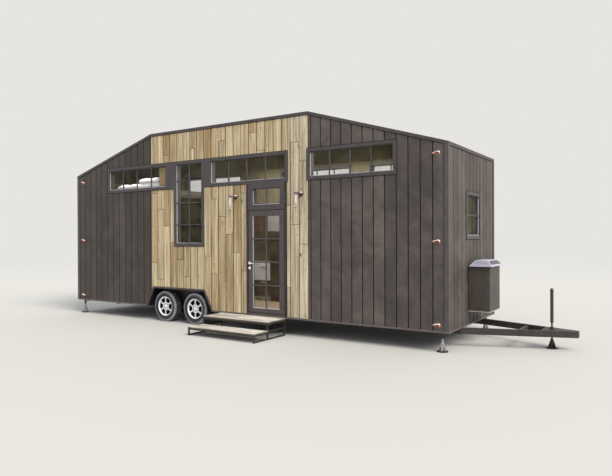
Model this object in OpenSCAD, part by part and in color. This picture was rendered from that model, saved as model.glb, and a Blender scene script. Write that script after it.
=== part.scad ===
// Tiny house on a two-axle trailer: a timber-framed body with a flat-topped roof that slopes to both
// ends, dark boarded ends, an oak middle, a glazed door and strip windows.
// X runs along the house towards the drawbar, the door side faces -Y, Z is up from the ground.

/* [Body] */
// Length of the body over its cladding
body_l = 9050; // [8600:10:9600]
// Width of the body over its cladding
body_w = 2550; // [2400:10:2600]
// Height of the walls' underside above the ground
body_z = 304; // [296:2:320]
// Height of the roof's top at both ends
eaves_z = 3234; // [3180:2:3300]
// Height of the roof's flat top
ridge_z = 3986; // [3900:2:4000]
// Length of the flat middle of the roof, and of the oak-clad walls below it
flat_l = 4000; // [3700:10:4300]
// Thickness of the framed walls without their boards
wall_t = 110; // [80:5:140]
// Room left outside the walls for the cladding boards
clad_t = 20; // [14:1:30]
// Thickness of the roof's outer skin, which is also the height of its edge trim
skin_t = 55; // [40:1:80]
// Height of the folded seams that run across the roof, which end level with its edge trim
seam_h = 14; // [8:1:20]
// Width of a seam
seam_w = 12; // [8:1:20]
// Greatest distance between two seams
seam_gap = 450; // [350:10:600]
// Depth of the insulated roof between the walls, below the skin
roof_core_t = 95; // [60:5:120]
// Thickness of the floor deck
floor_t = 31; // [24:1:40]
// How far trims, frames and rails stand proud of the boards
trim_proud = 12; // [6:1:20]
// Width of the corner trims on each face
corner_w = 59; // [40:1:80]

/* [Windows] */
// Distance of the strip windows' sills below the eaves
band_drop = 454; // [440:2:470]
// Least height of the wall between the strip windows and the roof's skin
head_wall = 94.5; // [80:0.5:110]
// Rear strip window, left end
strip_rear_x0 = -3420; // [-3480:10:-3360]
// Rear strip window, right end
strip_rear_x1 = -1487; // [-1500:1:-1450]
// Tall window, left side
tall_x0 = -1310; // [-1330:1:-1290]
// Tall window, right side
tall_x1 = -475; // [-495:1:-455]
// Tall window, sill
tall_z0 = 1593; // [1400:1:1800]
// Centre strip window, left end
strip_mid_x0 = -347; // [-370:1:-320]
// Centre strip window, right end
strip_mid_x1 = 1563; // [1550:1:1600]
// How far the front strip window laps over the oak-clad wall
strip_lap = 26; // [10:1:40]
// Length of the front strip window
strip_front_w = 1710; // [1650:5:1760]
// Width of the window in each end wall
end_win_w = 810; // [700:10:900]
// Sill of the window in each end wall
end_win_z0 = 1730; // [1600:10:1800]
// Top of the window in each end wall
end_win_z1 = 2530; // [2400:10:2600]
// Width of a window frame's face
frame_face = 60; // [50:1:70]
// Depth from the frame's face to the glass
glass_recess = 35; // [25:1:50]
// Thickness of the double glazing
glass_t = 24; // [12:1:30]

/* [Door] */
// Door frame, left side
door_x0 = 616; // [600:1:640]
// Width of the door frame
door_w = 920; // [880:5:960]
// Width of the door frame's face
jamb_face = 42; // [36:1:50]
// Height of the sill bar
sill_h = 30; // [24:1:40]
// Height of the fixed light's panel above the leaf
fixed_h = 497; // [460:1:540]
// Height of the bar between the leaf and the fixed light
transom_h = 98; // [80:1:120]
// Clearance round the leaf
leaf_gap = 8; // [7.5:0.5:9]
// Thickness of the leaf
leaf_t = 50; // [44:1:56]
// Width of the leaf's stiles and top rail
stile_w = 97; // [80:1:110]
// Height of the leaf's bottom rail
kick_h = 78; // [60:1:140]
// Height of the lever handle above the floor
lever_h = 955; // [900:5:1050]
// Length of the lever handle
lever_l = 112; // [90:1:130]
// Distance of the lever handle from the leaf
lever_out = 45; // [38:1:55]
// Half the thickness of the lever handle
lever_half = 8; // [6:0.5:10]
// Radius of the lever's round plate
rose_r = 26; // [22:1:30]
// Thickness of the lever's round plate
rose_t = 6; // [4:0.5:9]
// Distance of the keyhole below the lever
keyhole_drop = 70; // [60:1:80]
// Radius of the lever's spindle
spindle_r = 8; // [6:0.5:9]
// Radius of a hinge pin
pin_r = 5; // [4:0.5:6]
// Radius of a hinge knuckle
knuckle_r = 9; // [8:0.5:11]
// Distance of the outer hinges from the leaf's ends
hinge_inset = 250; // [200:5:300]
// Height of one hinge knuckle
knuckle_h = 45; // [35:1:60]

/* [Wheels] */
// Middle between the two axles
axle_x = -1205; // [-1260:5:-1150]
// Distance between the axles
axle_gap = 856; // [800:2:900]
// Radius of the tyres
tyre_r = 322; // [315:1:330]
// Width of the tyres
tyre_w = 190; // [170:2:210]
// Distance of the tyres' outer side from the face of the boards
tyre_inset = 30; // [20:1:45]
// Radius of the rim's outer flange
rim_r = 206; // [190:1:215]
// Depth of the rim from its edge to the inside of its barrel
rim_depth = 30; // [24:1:36]
// Number of spokes
spokes = 6; // [5:1:7]
// Radius of the circle of wheel nuts
nut_circle_r = 56; // [52:1:60]
// Radius of the rim's flat hub face
hub_face_r = 98; // [90:1:104]
// Depth of the tyres' grooves
groove_d = 7; // [4:1:10]
// Radius of the axle's spindle
spindle_axle_r = 30; // [24:1:36]
// Radius of the hub's tube
hub_r = 38; // [37:1:42]
// Distance from the tyres to the wheel arch's bottom corners
arch_out = 181.5; // [150:0.5:220]
// How far each side of the wheel arch leans in
arch_in = 213; // [190:1:230]
// Clearance between the tyres and the wheel arch's top
arch_gap = 56; // [45:1:90]
// Width of the wheel arch's metal edge
arch_face = 35; // [25:1:50]
// Thickness of the wheel arch's sheet
arch_t = 6; // [4:1:10]
// Clearance between the tyres and the wheel well's inner side
well_gap = 45; // [30:1:70]

/* [Chassis] */
// Height of the chassis and drawbar beams
beam_h = 100; // [80:2:110]
// Width of the beams
beam_w = 60; // [50:2:80]
// Distance between the main beams, centre to centre
beam_gap = 1200; // [1100:10:1280]
// Number of cross members
cross_n = 9; // [7:1:12]
// Height of the cross members
cross_h = 40; // [30:2:60]
// Distance of the cross members' ends from the deck's edges
cross_inset = 105; // [60:5:140]
// Side of the square axle tubes
axle_tube = 76; // [60:2:84]
// Length of the drawbar in front of the body
drawbar_l = 1634; // [1500:10:1800]
// Half width of the drawbar's square tip
tip_half = 55; // [45:1:70]
// Distance of the drawbar's cross member from the body
cross_x = 780; // [600:10:900]
// Length of the drawbar's nose plate
nose_l = 520; // [400:10:600]
// Thickness of the nose plate
nose_t = 12; // [8:1:16]

/* [Jacks] */
// Distance of the tongue jack from the drawbar's tip
jack_back = 390; // [340:5:450]
// Radius of the tongue jack's upper tube
jack_tube_r = 25; // [20:1:30]
// Underside of the tongue jack's upper tube
jack_tube_z0 = 407; // [395:1:440]
// Top of the tongue jack's upper tube
jack_tube_z1 = 954; // [850:2:1000]
// Height of the tongue jack's domed cap
jack_cap_h = 20; // [12:1:30]
// Height of the ring below the cap
jack_ring_h = 14; // [10:1:20]
// How far the ring stands proud
jack_ring_t = 4; // [2:1:6]
// Radius of the tongue jack's rod
jack_rod_r = 13; // [10:1:16]
// Radius of the tongue jack's collar
collar_r = 47; // [40:1:54]
// Height of the collar on the drawbar
collar_h = 36; // [30:1:42]
// Height of the tongue jack's conical foot
foot_h = 156; // [140:1:160]
// Radius of a foot's base
foot_r = 88; // [70:1:100]
// Thickness of the tube of a foot
foot_tube_t = 8; // [6:1:10]
// Thickness of a foot's base
base_t = 10; // [8:1:14]
// Number of a foot's gussets
gusset_n = 6; // [3:1:8]
// Thickness of a gusset
gusset_t = 7; // [5:1:10]
// Distance of the corner jacks from the body's ends
corner_jack_x = 126; // [110:1:160]
// Distance of the corner jacks from the body's sides
corner_jack_y = 95; // [90:1:120]
// Radius of a corner jack's rod
corner_rod_r = 16; // [12:1:20]
// Height of a corner jack's conical foot
corner_foot_h = 150; // [120:1:160]
// Clearance of a jack's rod in its bore
rod_gap = 0.3; // [0.2:0.1:0.5]

/* [Storage box] */
// Depth of the storage box in front of the end wall
box_d = 348; // [300:2:400]
// Width of the storage box
box_w = 610; // [500:10:700]
// Underside of the storage box
box_z0 = 536; // [500:2:600]
// Top of the storage box
box_z1 = 1280; // [1200:5:1320]
// Thickness of the box's and the lid's sheet
sheet_t = 4; // [3:0.5:6]
// Height of the two battens behind the box
batten_h = 60; // [40:2:80]
// Gap between the boards and the box, filled by its two battens
box_gap = 10; // [8:1:16]
// How far the lid's rim stands out from the box
lid_over = 35; // [25:1:45]
// Height of the lid's rim
lid_rim_h = 18; // [14:1:24]
// Height of the lid above its rim
lid_h = 84; // [70:1:90]
// Run of the lid's bevels
lid_bevel = 80; // [78:1:100]
// Width of the raised frame on each of the lid's bevels
lid_frame_w = 13; // [8:1:18]
// Height of that frame
lid_frame_t = 3; // [2:0.5:4]
// Margin between that frame and the bevel's edges
lid_frame_in = 3; // [2:0.5:6]
// How far the box's bottom flange stands out
box_flange = 6; // [4:1:10]
// Height of the box's bottom flange
box_flange_h = 12; // [8:1:18]

/* [Steps] */
// Distance from the steps' right end to the door frame's right side
step_short = 26; // [0:1:60]
// Width of the steps
step_w = 1520; // [1400:10:1600]
// Height of the upper step
step_z1 = 310; // [306:1:325]
// Height of the lower step
step_z0 = 160; // [140:1:180]
// Depth of the upper step
step_d1 = 530; // [450:5:600]
// Depth of the lower step
step_d0 = 385; // [330:5:420]
// Thickness of the boards
board_t = 28; // [24:1:34]
// Boards on each step
board_n = 4; // [3:1:6]
// Gap between the boards
board_gap = 6; // [4:1:10]
// Side of the square tubes
step_tube = 25; // [20:1:30]

/* [Lamps] */
// Distance of the left wall lamp from the door frame
lamp_left = 278; // [240:1:320]
// Distance of the right wall lamp from the door frame
lamp_right = 304; // [280:1:360]
// Distance of the wall lamps' arms below the strip windows
lamp_drop = 230; // [200:5:260]
// Radius of the ball mounts
ball_r = 55; // [45:1:60]
// Reach of the lamps' arms from the boards
lamp_reach = 150; // [120:5:180]
// Radius of the glass tubes
lamp_glass_r = 37; // [30:1:42]
// Length of the glass tubes
lamp_glass_l = 240; // [200:5:280]
// Height of the cap that holds a glass tube
lamp_cap_h = 24; // [20:1:30]
// Radius of a lamp's arm
lamp_arm_r = 9; // [7:0.5:11]
// Radius of the rod inside a glass tube
lamp_rod_r = 5; // [4:0.5:7]
// Distance of the marker lamps from the body's ends
marker_x = 156; // [140:2:200]
// Length of a marker lamp
marker_l = 120; // [100:2:140]
// Radius of a marker lamp's round end
marker_r = 23; // [18:1:28]
// Height of the lowest marker lamps above the floor
marker_low = 83; // [60:1:120]
// Height of the middle marker lamps above the floor
marker_mid = 1370; // [1300:5:1440]
// Distance of the highest marker lamps below the eaves
marker_high = 169; // [140:1:200]
// Radius of the dome lamps at the roof's front corners
dome_r = 22; // [16:1:28]

/* [Kitchen] */
// Left end of the kitchen
kitchen_x0 = -1330; // [-1400:10:-1300]
// Length of the white base cabinets
cabinet_l = 1130; // [1000:10:1160]
// Height of the worktop above the floor
worktop_h = 865; // [840:5:920]
// Thickness of the worktop
worktop_t = 38; // [28:1:44]
// How far the worktop overhangs the cabinets
worktop_over = 18; // [10:1:30]
// Depth of the base cabinets
cabinet_d = 560; // [500:10:600]
// Height and depth of the toe space
toe = 90; // [70:5:110]
// Gap between the base cabinets and the wheel well behind them
cabinet_gap = 4; // [2:1:10]
// Length of the tall cabinet beside them
tall_cabinet_l = 600; // [500:10:640]
// Height of the tall cabinet above the floor
tall_cabinet_h = 1305; // [1250:5:1400]
// Length of the wall cupboard
cupboard_l = 620; // [560:10:660]
// Depth of the wall cupboard
cupboard_d = 330; // [280:10:360]
// Height of the wall cupboard's underside above the floor
cupboard_up = 1570; // [1500:5:1620]
// Height of the wall cupboard
cupboard_h = 655; // [560:5:700]
// Gap between the wall cupboard and the cooker hood
hood_gap = 4; // [2:1:10]
// Length of the cooker hood
hood_l = 500; // [450:10:520]
// Height of the cooker hood
hood_h = 95; // [80:5:120]
// Depth of the cooker hood
hood_d = 400; // [380:10:450]

/* [Loft] */
// Distance of the loft floor's top below the strip windows
loft_drop = 90; // [80:5:140]
// Thickness of the loft floor
loft_t = 60; // [40:2:80]
// Front edge of the loft floor
loft_x1 = -1440; // [-1460:5:-1400]
// Thickness of the mattress
mattress_t = 150; // [120:5:180]
// Foot end of the mattress
mattress_x1 = -1930; // [-2000:10:-1900]
// Length of a pillow
pillow_l = 340; // [300:10:400]
// Width of a pillow
pillow_w = 420; // [380:10:450]
// Thickness of a pillow
pillow_t = 110; // [90:5:130]
// Gap between two pillows
pillow_gap = 15; // [5:1:30]
// Gap between the mattress and the walls
bed_gap = 30; // [20:1:50]
// Width of the board behind the last pane of the rear strip window
screen_w = 420; // [380:10:450]
// How far that board reaches past the window
screen_over = 20; // [10:1:40]
// Thickness of that board
screen_t = 22; // [18:1:30]
// Height of that board above the strip windows
screen_up = 60; // [40:5:100]
// Number of pillows
pillow_n = 4; // [2:1:5]

/* [Hidden] */
$fn = 48;

over = 1;
pin_gap = 0.05;
half_l = body_l / 2;
band_z0 = eaves_z - band_drop;
strip_front_x0 = flat_l / 2 - strip_lap;
strip_front_x1 = strip_front_x0 + strip_front_w;
leaf_top = band_z0 - fixed_h;
loft_z = band_z0 - loft_drop;
half_w = body_w / 2;
face_x = half_l - clad_t;
face_y = half_w - clad_t;
room_x = face_x - wall_t;
room_y = face_y - wall_t;
deck_z = body_z + floor_t;
lever_z = deck_z + lever_h;
marker_zs = [deck_z + marker_low, deck_z + marker_mid, eaves_z - marker_high];
slope = (ridge_z - eaves_z) / (half_l - flat_l / 2);
door_x1 = door_x0 + door_w;
door_z1 = band_z0;
lamp_xs = [door_x0 - lamp_left, door_x1 + lamp_right];
lamp_z = band_z0 - lamp_drop;
step_x0 = door_x1 - step_short - step_w;
beam_z0 = body_z - beam_h;
trim_y = half_w + trim_proud;
trim_x = half_l + trim_proud;
tip_x = half_l + drawbar_l;
step_y0 = trim_y + step_d1 + step_d0;
barrel_r = rim_r - rim_depth;
wheel_xs = [axle_x + axle_gap / 2, axle_x - axle_gap / 2];
tyre_y1 = half_w - tyre_inset;
tyre_y0 = tyre_y1 - tyre_w;
well_y = tyre_y0 - well_gap;
arch_w0 = axle_gap + 2 * tyre_r + 2 * arch_out;
arch_w1 = arch_w0 - 2 * arch_in;
arch_z = 2 * tyre_r + arch_gap;
jack_x = tip_x - jack_back;
box_x0 = half_l + box_gap;
box_x1 = half_l + box_gap + box_d;
lid_pin_r = 4;
lid_knuckle_r = 8;
lid_axis_x = box_x0 + 14;
lid_axis_z = box_z1 + lid_knuckle_r + 2;
// Half the length of a lid hinge, and of its middle knuckle
lid_hinge_half = 50;
lid_middle_half = 18;

// The origin lies under the middle of the whole object, on the ground
shift_x = -(tip_x - trim_x) / 2;
far_y = max(trim_y, half_w + marker_r);
shift_y = (step_y0 - far_y) / 2;

module placed() { translate([shift_x, shift_y, 0]) children(); }

// A box given by its two corners
module block(a, b) { translate(a) cube(b - a); }

// A profile in X and Z, carried along Y from y0 to y1
module along_y(y0, y1) { translate([0, y1, 0]) rotate([90, 0, 0]) linear_extrude(y1 - y0) children(); }

// Both long sides: the door side as drawn, then its mirror image
module both_sides() { children(); mirror([0, 1, 0]) children(); }

// Height of the roof's top at a distance along the house
function roof_z(x) = abs(x) <= flat_l / 2 ? ridge_z : ridge_z - slope * (abs(x) - flat_l / 2);

band_z1 = min(roof_z(strip_rear_x0), roof_z(strip_front_x1)) - skin_t - head_wall;

// The points of the roof line between two places, without its ends
function kinks(x0, x1) = [for (x = [-flat_l / 2, flat_l / 2]) if (x > x0 && x < x1) x];

// The outline between two places along the house, from z0 up to a depth below the roof's top
module under_roof(x0, x1, z0, depth) {
    xs = concat([x0], kinks(x0, x1), [x1]);
    tops = [for (x = xs) [x, roof_z(x) - depth]];
    polygon(concat([[x1, z0], [x0, z0]], tops));
}

// A layer of the roof between two depths below its top
module roof_layer(x0, x1, depth0, depth1) {
    xs = concat([x0], kinks(x0, x1), [x1]);
    n = len(xs) - 1;
    polygon(concat([for (x = xs) [x, roof_z(x) - depth0]],
        [for (i = [0 : n]) [xs[n - i], roof_z(xs[n - i]) - depth1]]));
}

// Windows of the long walls as [left, right, sill, head]
strip_rear = [strip_rear_x0, strip_rear_x1, band_z0, band_z1];
tall = [tall_x0, tall_x1, tall_z0, band_z1];
strip_mid = [strip_mid_x0, strip_mid_x1, band_z0, band_z1];
strip_front = [strip_front_x0, strip_front_x1, band_z0, band_z1];
side_windows = [strip_rear, tall, strip_mid, strip_front];
back_windows = [strip_rear, strip_mid, strip_front];
end_window = [-end_win_w / 2, end_win_w / 2, end_win_z0, end_win_z1];
transom = [door_x0 + jamb_face + stile_w, door_x1 - jamb_face - stile_w,
    leaf_top + transom_h, door_z1 - transom_h];

module rect(w, inset = 0) {
    translate([w[0] + inset, w[2] + inset]) square([w[1] - w[0] - 2 * inset, w[3] - w[2] - 2 * inset]);
}

// The wheel arch's outline, grown outwards by g
module arch_shape(g = 0) {
    lean = (arch_w0 - arch_w1) / 2 / (arch_z - body_z);
    s = g * sqrt(1 + lean * lean) - g * lean;
    half0 = arch_w0 / 2 + g * sqrt(1 + lean * lean) + lean * over;
    polygon([[axle_x - half0, body_z - over], [axle_x + half0, body_z - over],
        [axle_x + arch_w1 / 2 + s, arch_z + g], [axle_x - arch_w1 / 2 - s, arch_z + g]]);
}

// A stretch of long wall, with its windows, door and wheel arch cut through
module side_wall(x0, x1, windows, has_door = false) {
    along_y(-face_y, -room_y) difference() {
        under_roof(x0, x1, deck_z, skin_t);
        for (w = windows) rect(w);
        if (has_door) rect([door_x0, door_x1, deck_z - over, door_z1]);
        arch_shape();
    }
}

module end_wall() {
    difference() {
        along_y(-face_y, face_y) under_roof(room_x, face_x, deck_z, skin_t);
        translate([room_x - over, 0, 0]) rotate([90, 0, 90]) linear_extrude(wall_t + 2 * over)
            rect(end_window);
    }
}

// A frame that lines its opening from the inside of the wall to proud of the boards
module frame_ring(w) { along_y(-trim_y, -room_y) difference() { rect(w); rect(w, frame_face); } }

module pane(w, inset) {
    y = trim_y - glass_recess;
    along_y(-y, -y + glass_t) rect(w, inset);
}

module at_end() { translate([half_l - half_w, 0, 0]) rotate([0, 0, 90]) children(); }

module chassis_frame() {
    color("#2f2d2c") placed() {
        x0 = cross_inset - face_x;
        bay = (-2 * x0 - beam_w) / (cross_n - 1);
        both_sides() block([-face_x, -(beam_gap + beam_w) / 2, beam_z0],
            [face_x, -(beam_gap - beam_w) / 2, body_z]);
        for (i = [0 : cross_n - 1]) {
            x = x0 + i * bay;
            near_wheels = abs(x + beam_w / 2 - axle_x) < arch_w0 / 2 + beam_w;
            reach = near_wheels ? well_y - 2 * arch_t : face_y - cross_inset;
            block([x, -reach, body_z - cross_h], [x + beam_w, reach, body_z]);
        }
    }
}

module drawbar() {
    root_y = beam_gap / 2;
    color("#373533") placed() difference() {
        union() {
            both_sides() translate([0, 0, beam_z0]) linear_extrude(beam_h)
                polygon([[face_x, -root_y - beam_w / 2], [tip_x, -tip_half],
                    [tip_x, -tip_half + beam_w], [face_x, -root_y + beam_w / 2]]);
            cross_half = root_y - (root_y - tip_half) * (cross_x + clad_t) / (drawbar_l + clad_t);
            block([half_l + cross_x, -cross_half, beam_z0 + nose_t], [half_l + cross_x + beam_w, cross_half,
                body_z - nose_t]);
            translate([0, 0, body_z - nose_t]) linear_extrude(nose_t) nose_shape();
            translate([0, 0, beam_z0]) linear_extrude(nose_t) nose_shape();
            block([tip_x - nose_t, -tip_half, beam_z0], [tip_x, tip_half, body_z]);
        }
        translate([jack_x, 0, beam_z0 - over]) cylinder(r = jack_rod_r + rod_gap + 4, h = beam_h + 2 * over);
    }
}

// The plate that ties the drawbar's beams together behind the tip
module nose_shape() {
    root_y = beam_gap / 2;
    half = tip_half + (root_y - tip_half) * nose_l / (drawbar_l + clad_t);
    polygon([[tip_x - nose_l, -half], [tip_x, -tip_half], [tip_x, tip_half], [tip_x - nose_l, half]]);
}

corner_jack_at = [half_l - corner_jack_x, half_w - corner_jack_y];
socket_t = 6;

// Four tubes that hang from plates under the deck, one for each corner jack's rod
module jack_sockets() {
    color("#2f2d2c") placed() for (sx = [-1, 1], sy = [-1, 1]) into_corner(sx, sy)
        translate([corner_jack_at[0], corner_jack_at[1], 0]) difference() {
            union() {
                translate([0, 0, beam_z0]) cylinder(r = corner_rod_r + socket_t, h = beam_h);
                block([-60, face_y - cross_inset - corner_jack_at[1], body_z - socket_t],
                    [60, corner_rod_r + socket_t, body_z]);
            }
            translate([0, 0, beam_z0 - over])
                cylinder(r = corner_rod_r + rod_gap, h = beam_h - socket_t + over);
        }
}

module tongue_jack_collar() {
    color("#373533") placed() translate([jack_x, 0, body_z]) rotate_extrude()
        polygon([[jack_rod_r + rod_gap, 0], [collar_r, 0], [collar_r, 8], [collar_r * 0.6, 14],
            [collar_r * 0.6, collar_h], [jack_rod_r + rod_gap, collar_h]]);
}

// A foot under a rod: a flat round base, a tube and the gussets that brace it
module foot(h, rod_r, top) {
    tube_r = rod_r + foot_tube_t;
    gusset_h = h * 0.86;
    rotate_extrude() polygon([[0, 0], [foot_r, 0], [foot_r, base_t], [tube_r, base_t],
        [tube_r, h - foot_tube_t], [rod_r + foot_tube_t / 3, h], [rod_r, h], [rod_r, top], [0, top]]);
    for (i = [0 : gusset_n - 1]) rotate([0, 0, (i + 0.5) * 360 / gusset_n]) rotate([90, 0, 0])
        translate([0, 0, -gusset_t / 2]) linear_extrude(gusset_t)
            polygon([[rod_r, base_t - over], [foot_r * 0.74, base_t - over],
                [foot_r * 0.74, base_t + gusset_t], [tube_r + gusset_t / 2, gusset_h], [rod_r, gusset_h]]);
}

module tongue_jack() {
    color("#2b2a2a") placed() translate([jack_x, 0, 0]) {
        foot(foot_h, jack_rod_r, jack_tube_z0);
        ring_z1 = jack_tube_z1 - 2 * jack_cap_h;
        rotate_extrude() polygon([[0, jack_tube_z0], [jack_tube_r, jack_tube_z0],
            [jack_tube_r, ring_z1 - jack_ring_h], [jack_tube_r + jack_ring_t, ring_z1 - jack_ring_h],
            [jack_tube_r + jack_ring_t, ring_z1], [jack_tube_r, ring_z1],
            [jack_tube_r, jack_tube_z1 - jack_cap_h], [jack_tube_r * 0.76, jack_tube_z1 - jack_cap_h / 4],
            [jack_tube_r * 0.44, jack_tube_z1], [0, jack_tube_z1]]);
    }
}

module corner_jack(sx, sy) {
    color("#2b2a2a") placed() translate([sx * corner_jack_at[0], sy * corner_jack_at[1], 0])
        foot(corner_foot_h, corner_rod_r, beam_z0 + 30);
}

// The axles' trailing arms: their length along the house, thickness, depth and eyes
arm_l = 125;
arm_t = 25;
arm_h = 48;
eye_r = spindle_axle_r + 6;
arm_y = well_y;

module axles() {
    tube_z = beam_z0 - axle_tube / 2;
    color("#2f2d2c") placed() for (x = wheel_xs) {
        block([x - arm_l - axle_tube / 2, -arm_y, beam_z0 - axle_tube],
            [x - arm_l + axle_tube / 2, arm_y, beam_z0]);
        both_sides() translate([x, -arm_y, tyre_r]) {
            rise = atan2(tyre_r - tube_z, arm_l);
            translate([-arm_l, -arm_t, tube_z - tyre_r]) rotate([0, -rise, 0])
                translate([0, over, -arm_h / 2])
                    cube([norm([arm_l, tyre_r - tube_z]), arm_t - 2 * over, arm_h]);
            rotate([90, 0, 0]) cylinder(r = eye_r, h = arm_t);
            translate([-arm_l, 0, tube_z - tyre_r]) rotate([90, 0, 0]) cylinder(r = eye_r, h = arm_t);
            translate([0, over - arm_t, 0]) rotate([90, 0, 0])
                cylinder(r = spindle_axle_r, h = tyre_w - arm_t);
        }
    }
}

// A tyre about the Y axis at the origin, with its outer side towards -Y
module tyre_form() {
    w = tyre_w / 2;
    rotate([90, 0, 0]) rotate_extrude($fn = 96) difference() {
        polygon([[rim_r - 8, -w + 18], [rim_r + 8, -w + 8], [rim_r + 20, -w + 5], [rim_r + 40, -w + 1],
            [rim_r + 60, -w], [tyre_r - 38, -w + 1], [tyre_r - 22, -w + 4], [tyre_r - 6, -w + 16],
            [tyre_r, -w + 32], [tyre_r, w - 32], [tyre_r - 6, w - 16], [tyre_r - 22, w - 4],
            [tyre_r - 38, w - 1], [rim_r + 60, w], [rim_r + 40, w - 1], [rim_r + 20, w - 5],
            [rim_r + 8, w - 8], [rim_r - 8, w - 18]]);
        translate([0, -w]) square([rim_r - 4, tyre_w]);
        for (i = [-1 : 1]) translate([tyre_r - groove_d, i * tyre_w / 5 - 4]) square([groove_d + over, 8]);
    }
}

module tyre(x, sy) {
    color("#2a2b2e") placed() translate([x, sy * (tyre_y0 + tyre_w / 2), tyre_r])
        mirror([0, sy > 0 ? 1 : 0, 0]) tyre_form();
}

// The outline of a rounded convex shape: an arc of radius c round each of its corners, which are
// given anticlockwise
function heading(a, b) = atan2(b[1] - a[1], b[0] - a[0]);
function rounded(pts, c) = let (n = len(pts), steps = 4) [for (i = [0 : n - 1])
    let (t0 = heading(pts[(i + n - 1) % n], pts[i]) - 90, t1 = heading(pts[i], pts[(i + 1) % n]) - 90,
        turn = t1 < t0 ? t1 - t0 + 360 : t1 - t0)
    for (k = [0 : steps]) pts[i] + c * [cos(t0 + turn * k / steps), sin(t0 + turn * k / steps)]];

function polar(r, a) = [r * cos(a), r * sin(a)];

// One opening between two spokes, wider outwards
module spoke_gap() {
    c = 7;
    r0 = hub_face_r + 16 + c;
    r1 = barrel_r - 10 - c;
    a = 360 / spokes * 0.3;
    b = a * 0.82;
    polygon(rounded([polar(r0, -b), polar(r1, -a), polar(r1, 0), polar(r1, a), polar(r0, b)], c));
}

// The slit that splits a spoke in two
module spoke_slit() {
    c = 3;
    r0 = hub_face_r + 30;
    r1 = barrel_r - 16;
    polygon(rounded([[r0, -2], [r1, -3], [r1, 3], [r0, 2]], c));
}

// A rim about the Y axis, with its outer side towards -Y: a barrel with a lip over the tyre, and a
// dished face with split spokes, wheel nuts in their recesses and a cap
module rim_form() {
    w = tyre_w / 2;
    bore_r = spindle_axle_r + pin_gap;
    hub_z = w - 29;
    rotate([90, 0, 0]) {
        rotate_extrude($fn = 96) polygon([[barrel_r + 8, -w + 20], [rim_r - 4, -w + 20], [rim_r - 4, w - 15],
            [rim_r - 1, w - 12], [rim_r - 2, w - 9], [rim_r - 10, w - 9], [rim_r - 14, w - 13],
            [barrel_r + 8, w - 22], [barrel_r, w - 30], [barrel_r, w - 60]]);
        difference() {
            rotate_extrude($fn = 96) polygon([[bore_r, w - 60], [hub_face_r, w - 48],
                [barrel_r + 3, w - 56], [barrel_r + 3, w - 32], [barrel_r - 14, w - 26],
                [hub_face_r + 12, w - 21], [hub_face_r, hub_z], [bore_r, hub_z]]);
            for (i = [0 : spokes - 1]) rotate([0, 0, i * 360 / spokes]) translate([0, 0, w - 70])
                linear_extrude(70) {
                    spoke_gap();
                    rotate([0, 0, 180 / spokes]) spoke_slit();
                }
            for (i = [0 : 5]) rotate([0, 0, i * 60 + 15]) translate([nut_circle_r, 0, hub_z - 10])
                cylinder(r = 14, h = 20);
        }
        for (i = [0 : 5]) rotate([0, 0, i * 60 + 15]) translate([nut_circle_r, 0, hub_z - 11])
            cylinder(r = 9, h = 12, $fn = 6);
        difference() {
            translate([0, 0, -w + 30]) cylinder(r = hub_r, h = hub_z + w - 30 - over);
            translate([0, 0, -w]) cylinder(r = bore_r, h = tyre_w - 35);
        }
        translate([0, 0, hub_z - 2]) rotate_extrude() polygon([[0, 0], [34, 0], [34, 6], [29, 11], [18, 14],
            [0, 15]]);
    }
}

module rim(x, sy) {
    color("#c9c9cc") placed() translate([x, sy * (tyre_y0 + tyre_w / 2), tyre_r])
        mirror([0, sy > 0 ? 1 : 0, 0]) rim_form();
}

module wheel_arches() {
    color("#3a3738") placed() both_sides() {
        along_y(-trim_y, -face_y) difference() { arch_shape(arch_face); arch_shape(); below(); }
        along_y(-face_y, -well_y) difference() { arch_shape(); arch_shape(-arch_t); below(); }
        along_y(-well_y, -well_y + arch_t) difference() { arch_shape(); below(); }
    }
}

// Everything under the body's underside
module below() { translate([-body_l, 0]) square([2 * body_l, body_z]); }

module floor_deck() {
    color("#b08a5a") placed() difference() {
        block([-face_x, -face_y, body_z], [face_x, face_y, deck_z]);
        both_sides() along_y(-face_y - over, -well_y + arch_t) arch_shape();
    }
}

module front_wall_rear() { color("#58524f") placed() side_wall(-room_x, -flat_l / 2, side_windows); }
module front_wall_oak() { color("#c8b48c") placed() side_wall(-flat_l / 2, door_x0, side_windows); }
module front_wall_over_door() { color("#c8b48c") placed() side_wall(door_x0, door_x1, side_windows, true); }
module front_wall_by_door() { color("#c8b48c") placed() side_wall(door_x1, flat_l / 2, side_windows); }
module front_wall_front() { color("#58524f") placed() side_wall(flat_l / 2, room_x, side_windows); }
module back_wall(x0, x1) { mirror([0, 1, 0]) side_wall(x0, x1, back_windows); }
module back_wall_rear() { color("#58524f") placed() back_wall(-room_x, -flat_l / 2); }
module back_wall_oak() { color("#c8b48c") placed() back_wall(-flat_l / 2, flat_l / 2); }
module back_wall_front() { color("#58524f") placed() back_wall(flat_l / 2, room_x); }
module end_wall_front() { color("#58524f") placed() end_wall(); }
module end_wall_rear() { color("#58524f") placed() mirror([1, 0, 0]) end_wall(); }

// A stretch of roof: the skin lies on the walls and has folded seams, the core fits between them
module roof_part(x0, x1) {
    n = ceil((x1 - x0) / seam_gap);
    pitch = (x1 - x0) / n;
    along_y(-face_y, face_y) roof_layer(x0, x1, seam_h, skin_t);
    for (i = [1 : n - 1]) along_y(-face_y + 30, face_y - 30)
        roof_layer(x0 + i * pitch - seam_w / 2, x0 + i * pitch + seam_w / 2, 0, seam_h + over);
    along_y(-room_y, room_y)
        roof_layer(max(x0, -room_x), min(x1, room_x), skin_t - over, skin_t + roof_core_t);
}

module roof_rear_slope() { color("#46423f") placed() roof_part(-face_x, -flat_l / 2); }
module roof_flat() { color("#46423f") placed() roof_part(-flat_l / 2, flat_l / 2); }
module roof_front_slope() { color("#46423f") placed() roof_part(flat_l / 2, face_x); }

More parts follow.
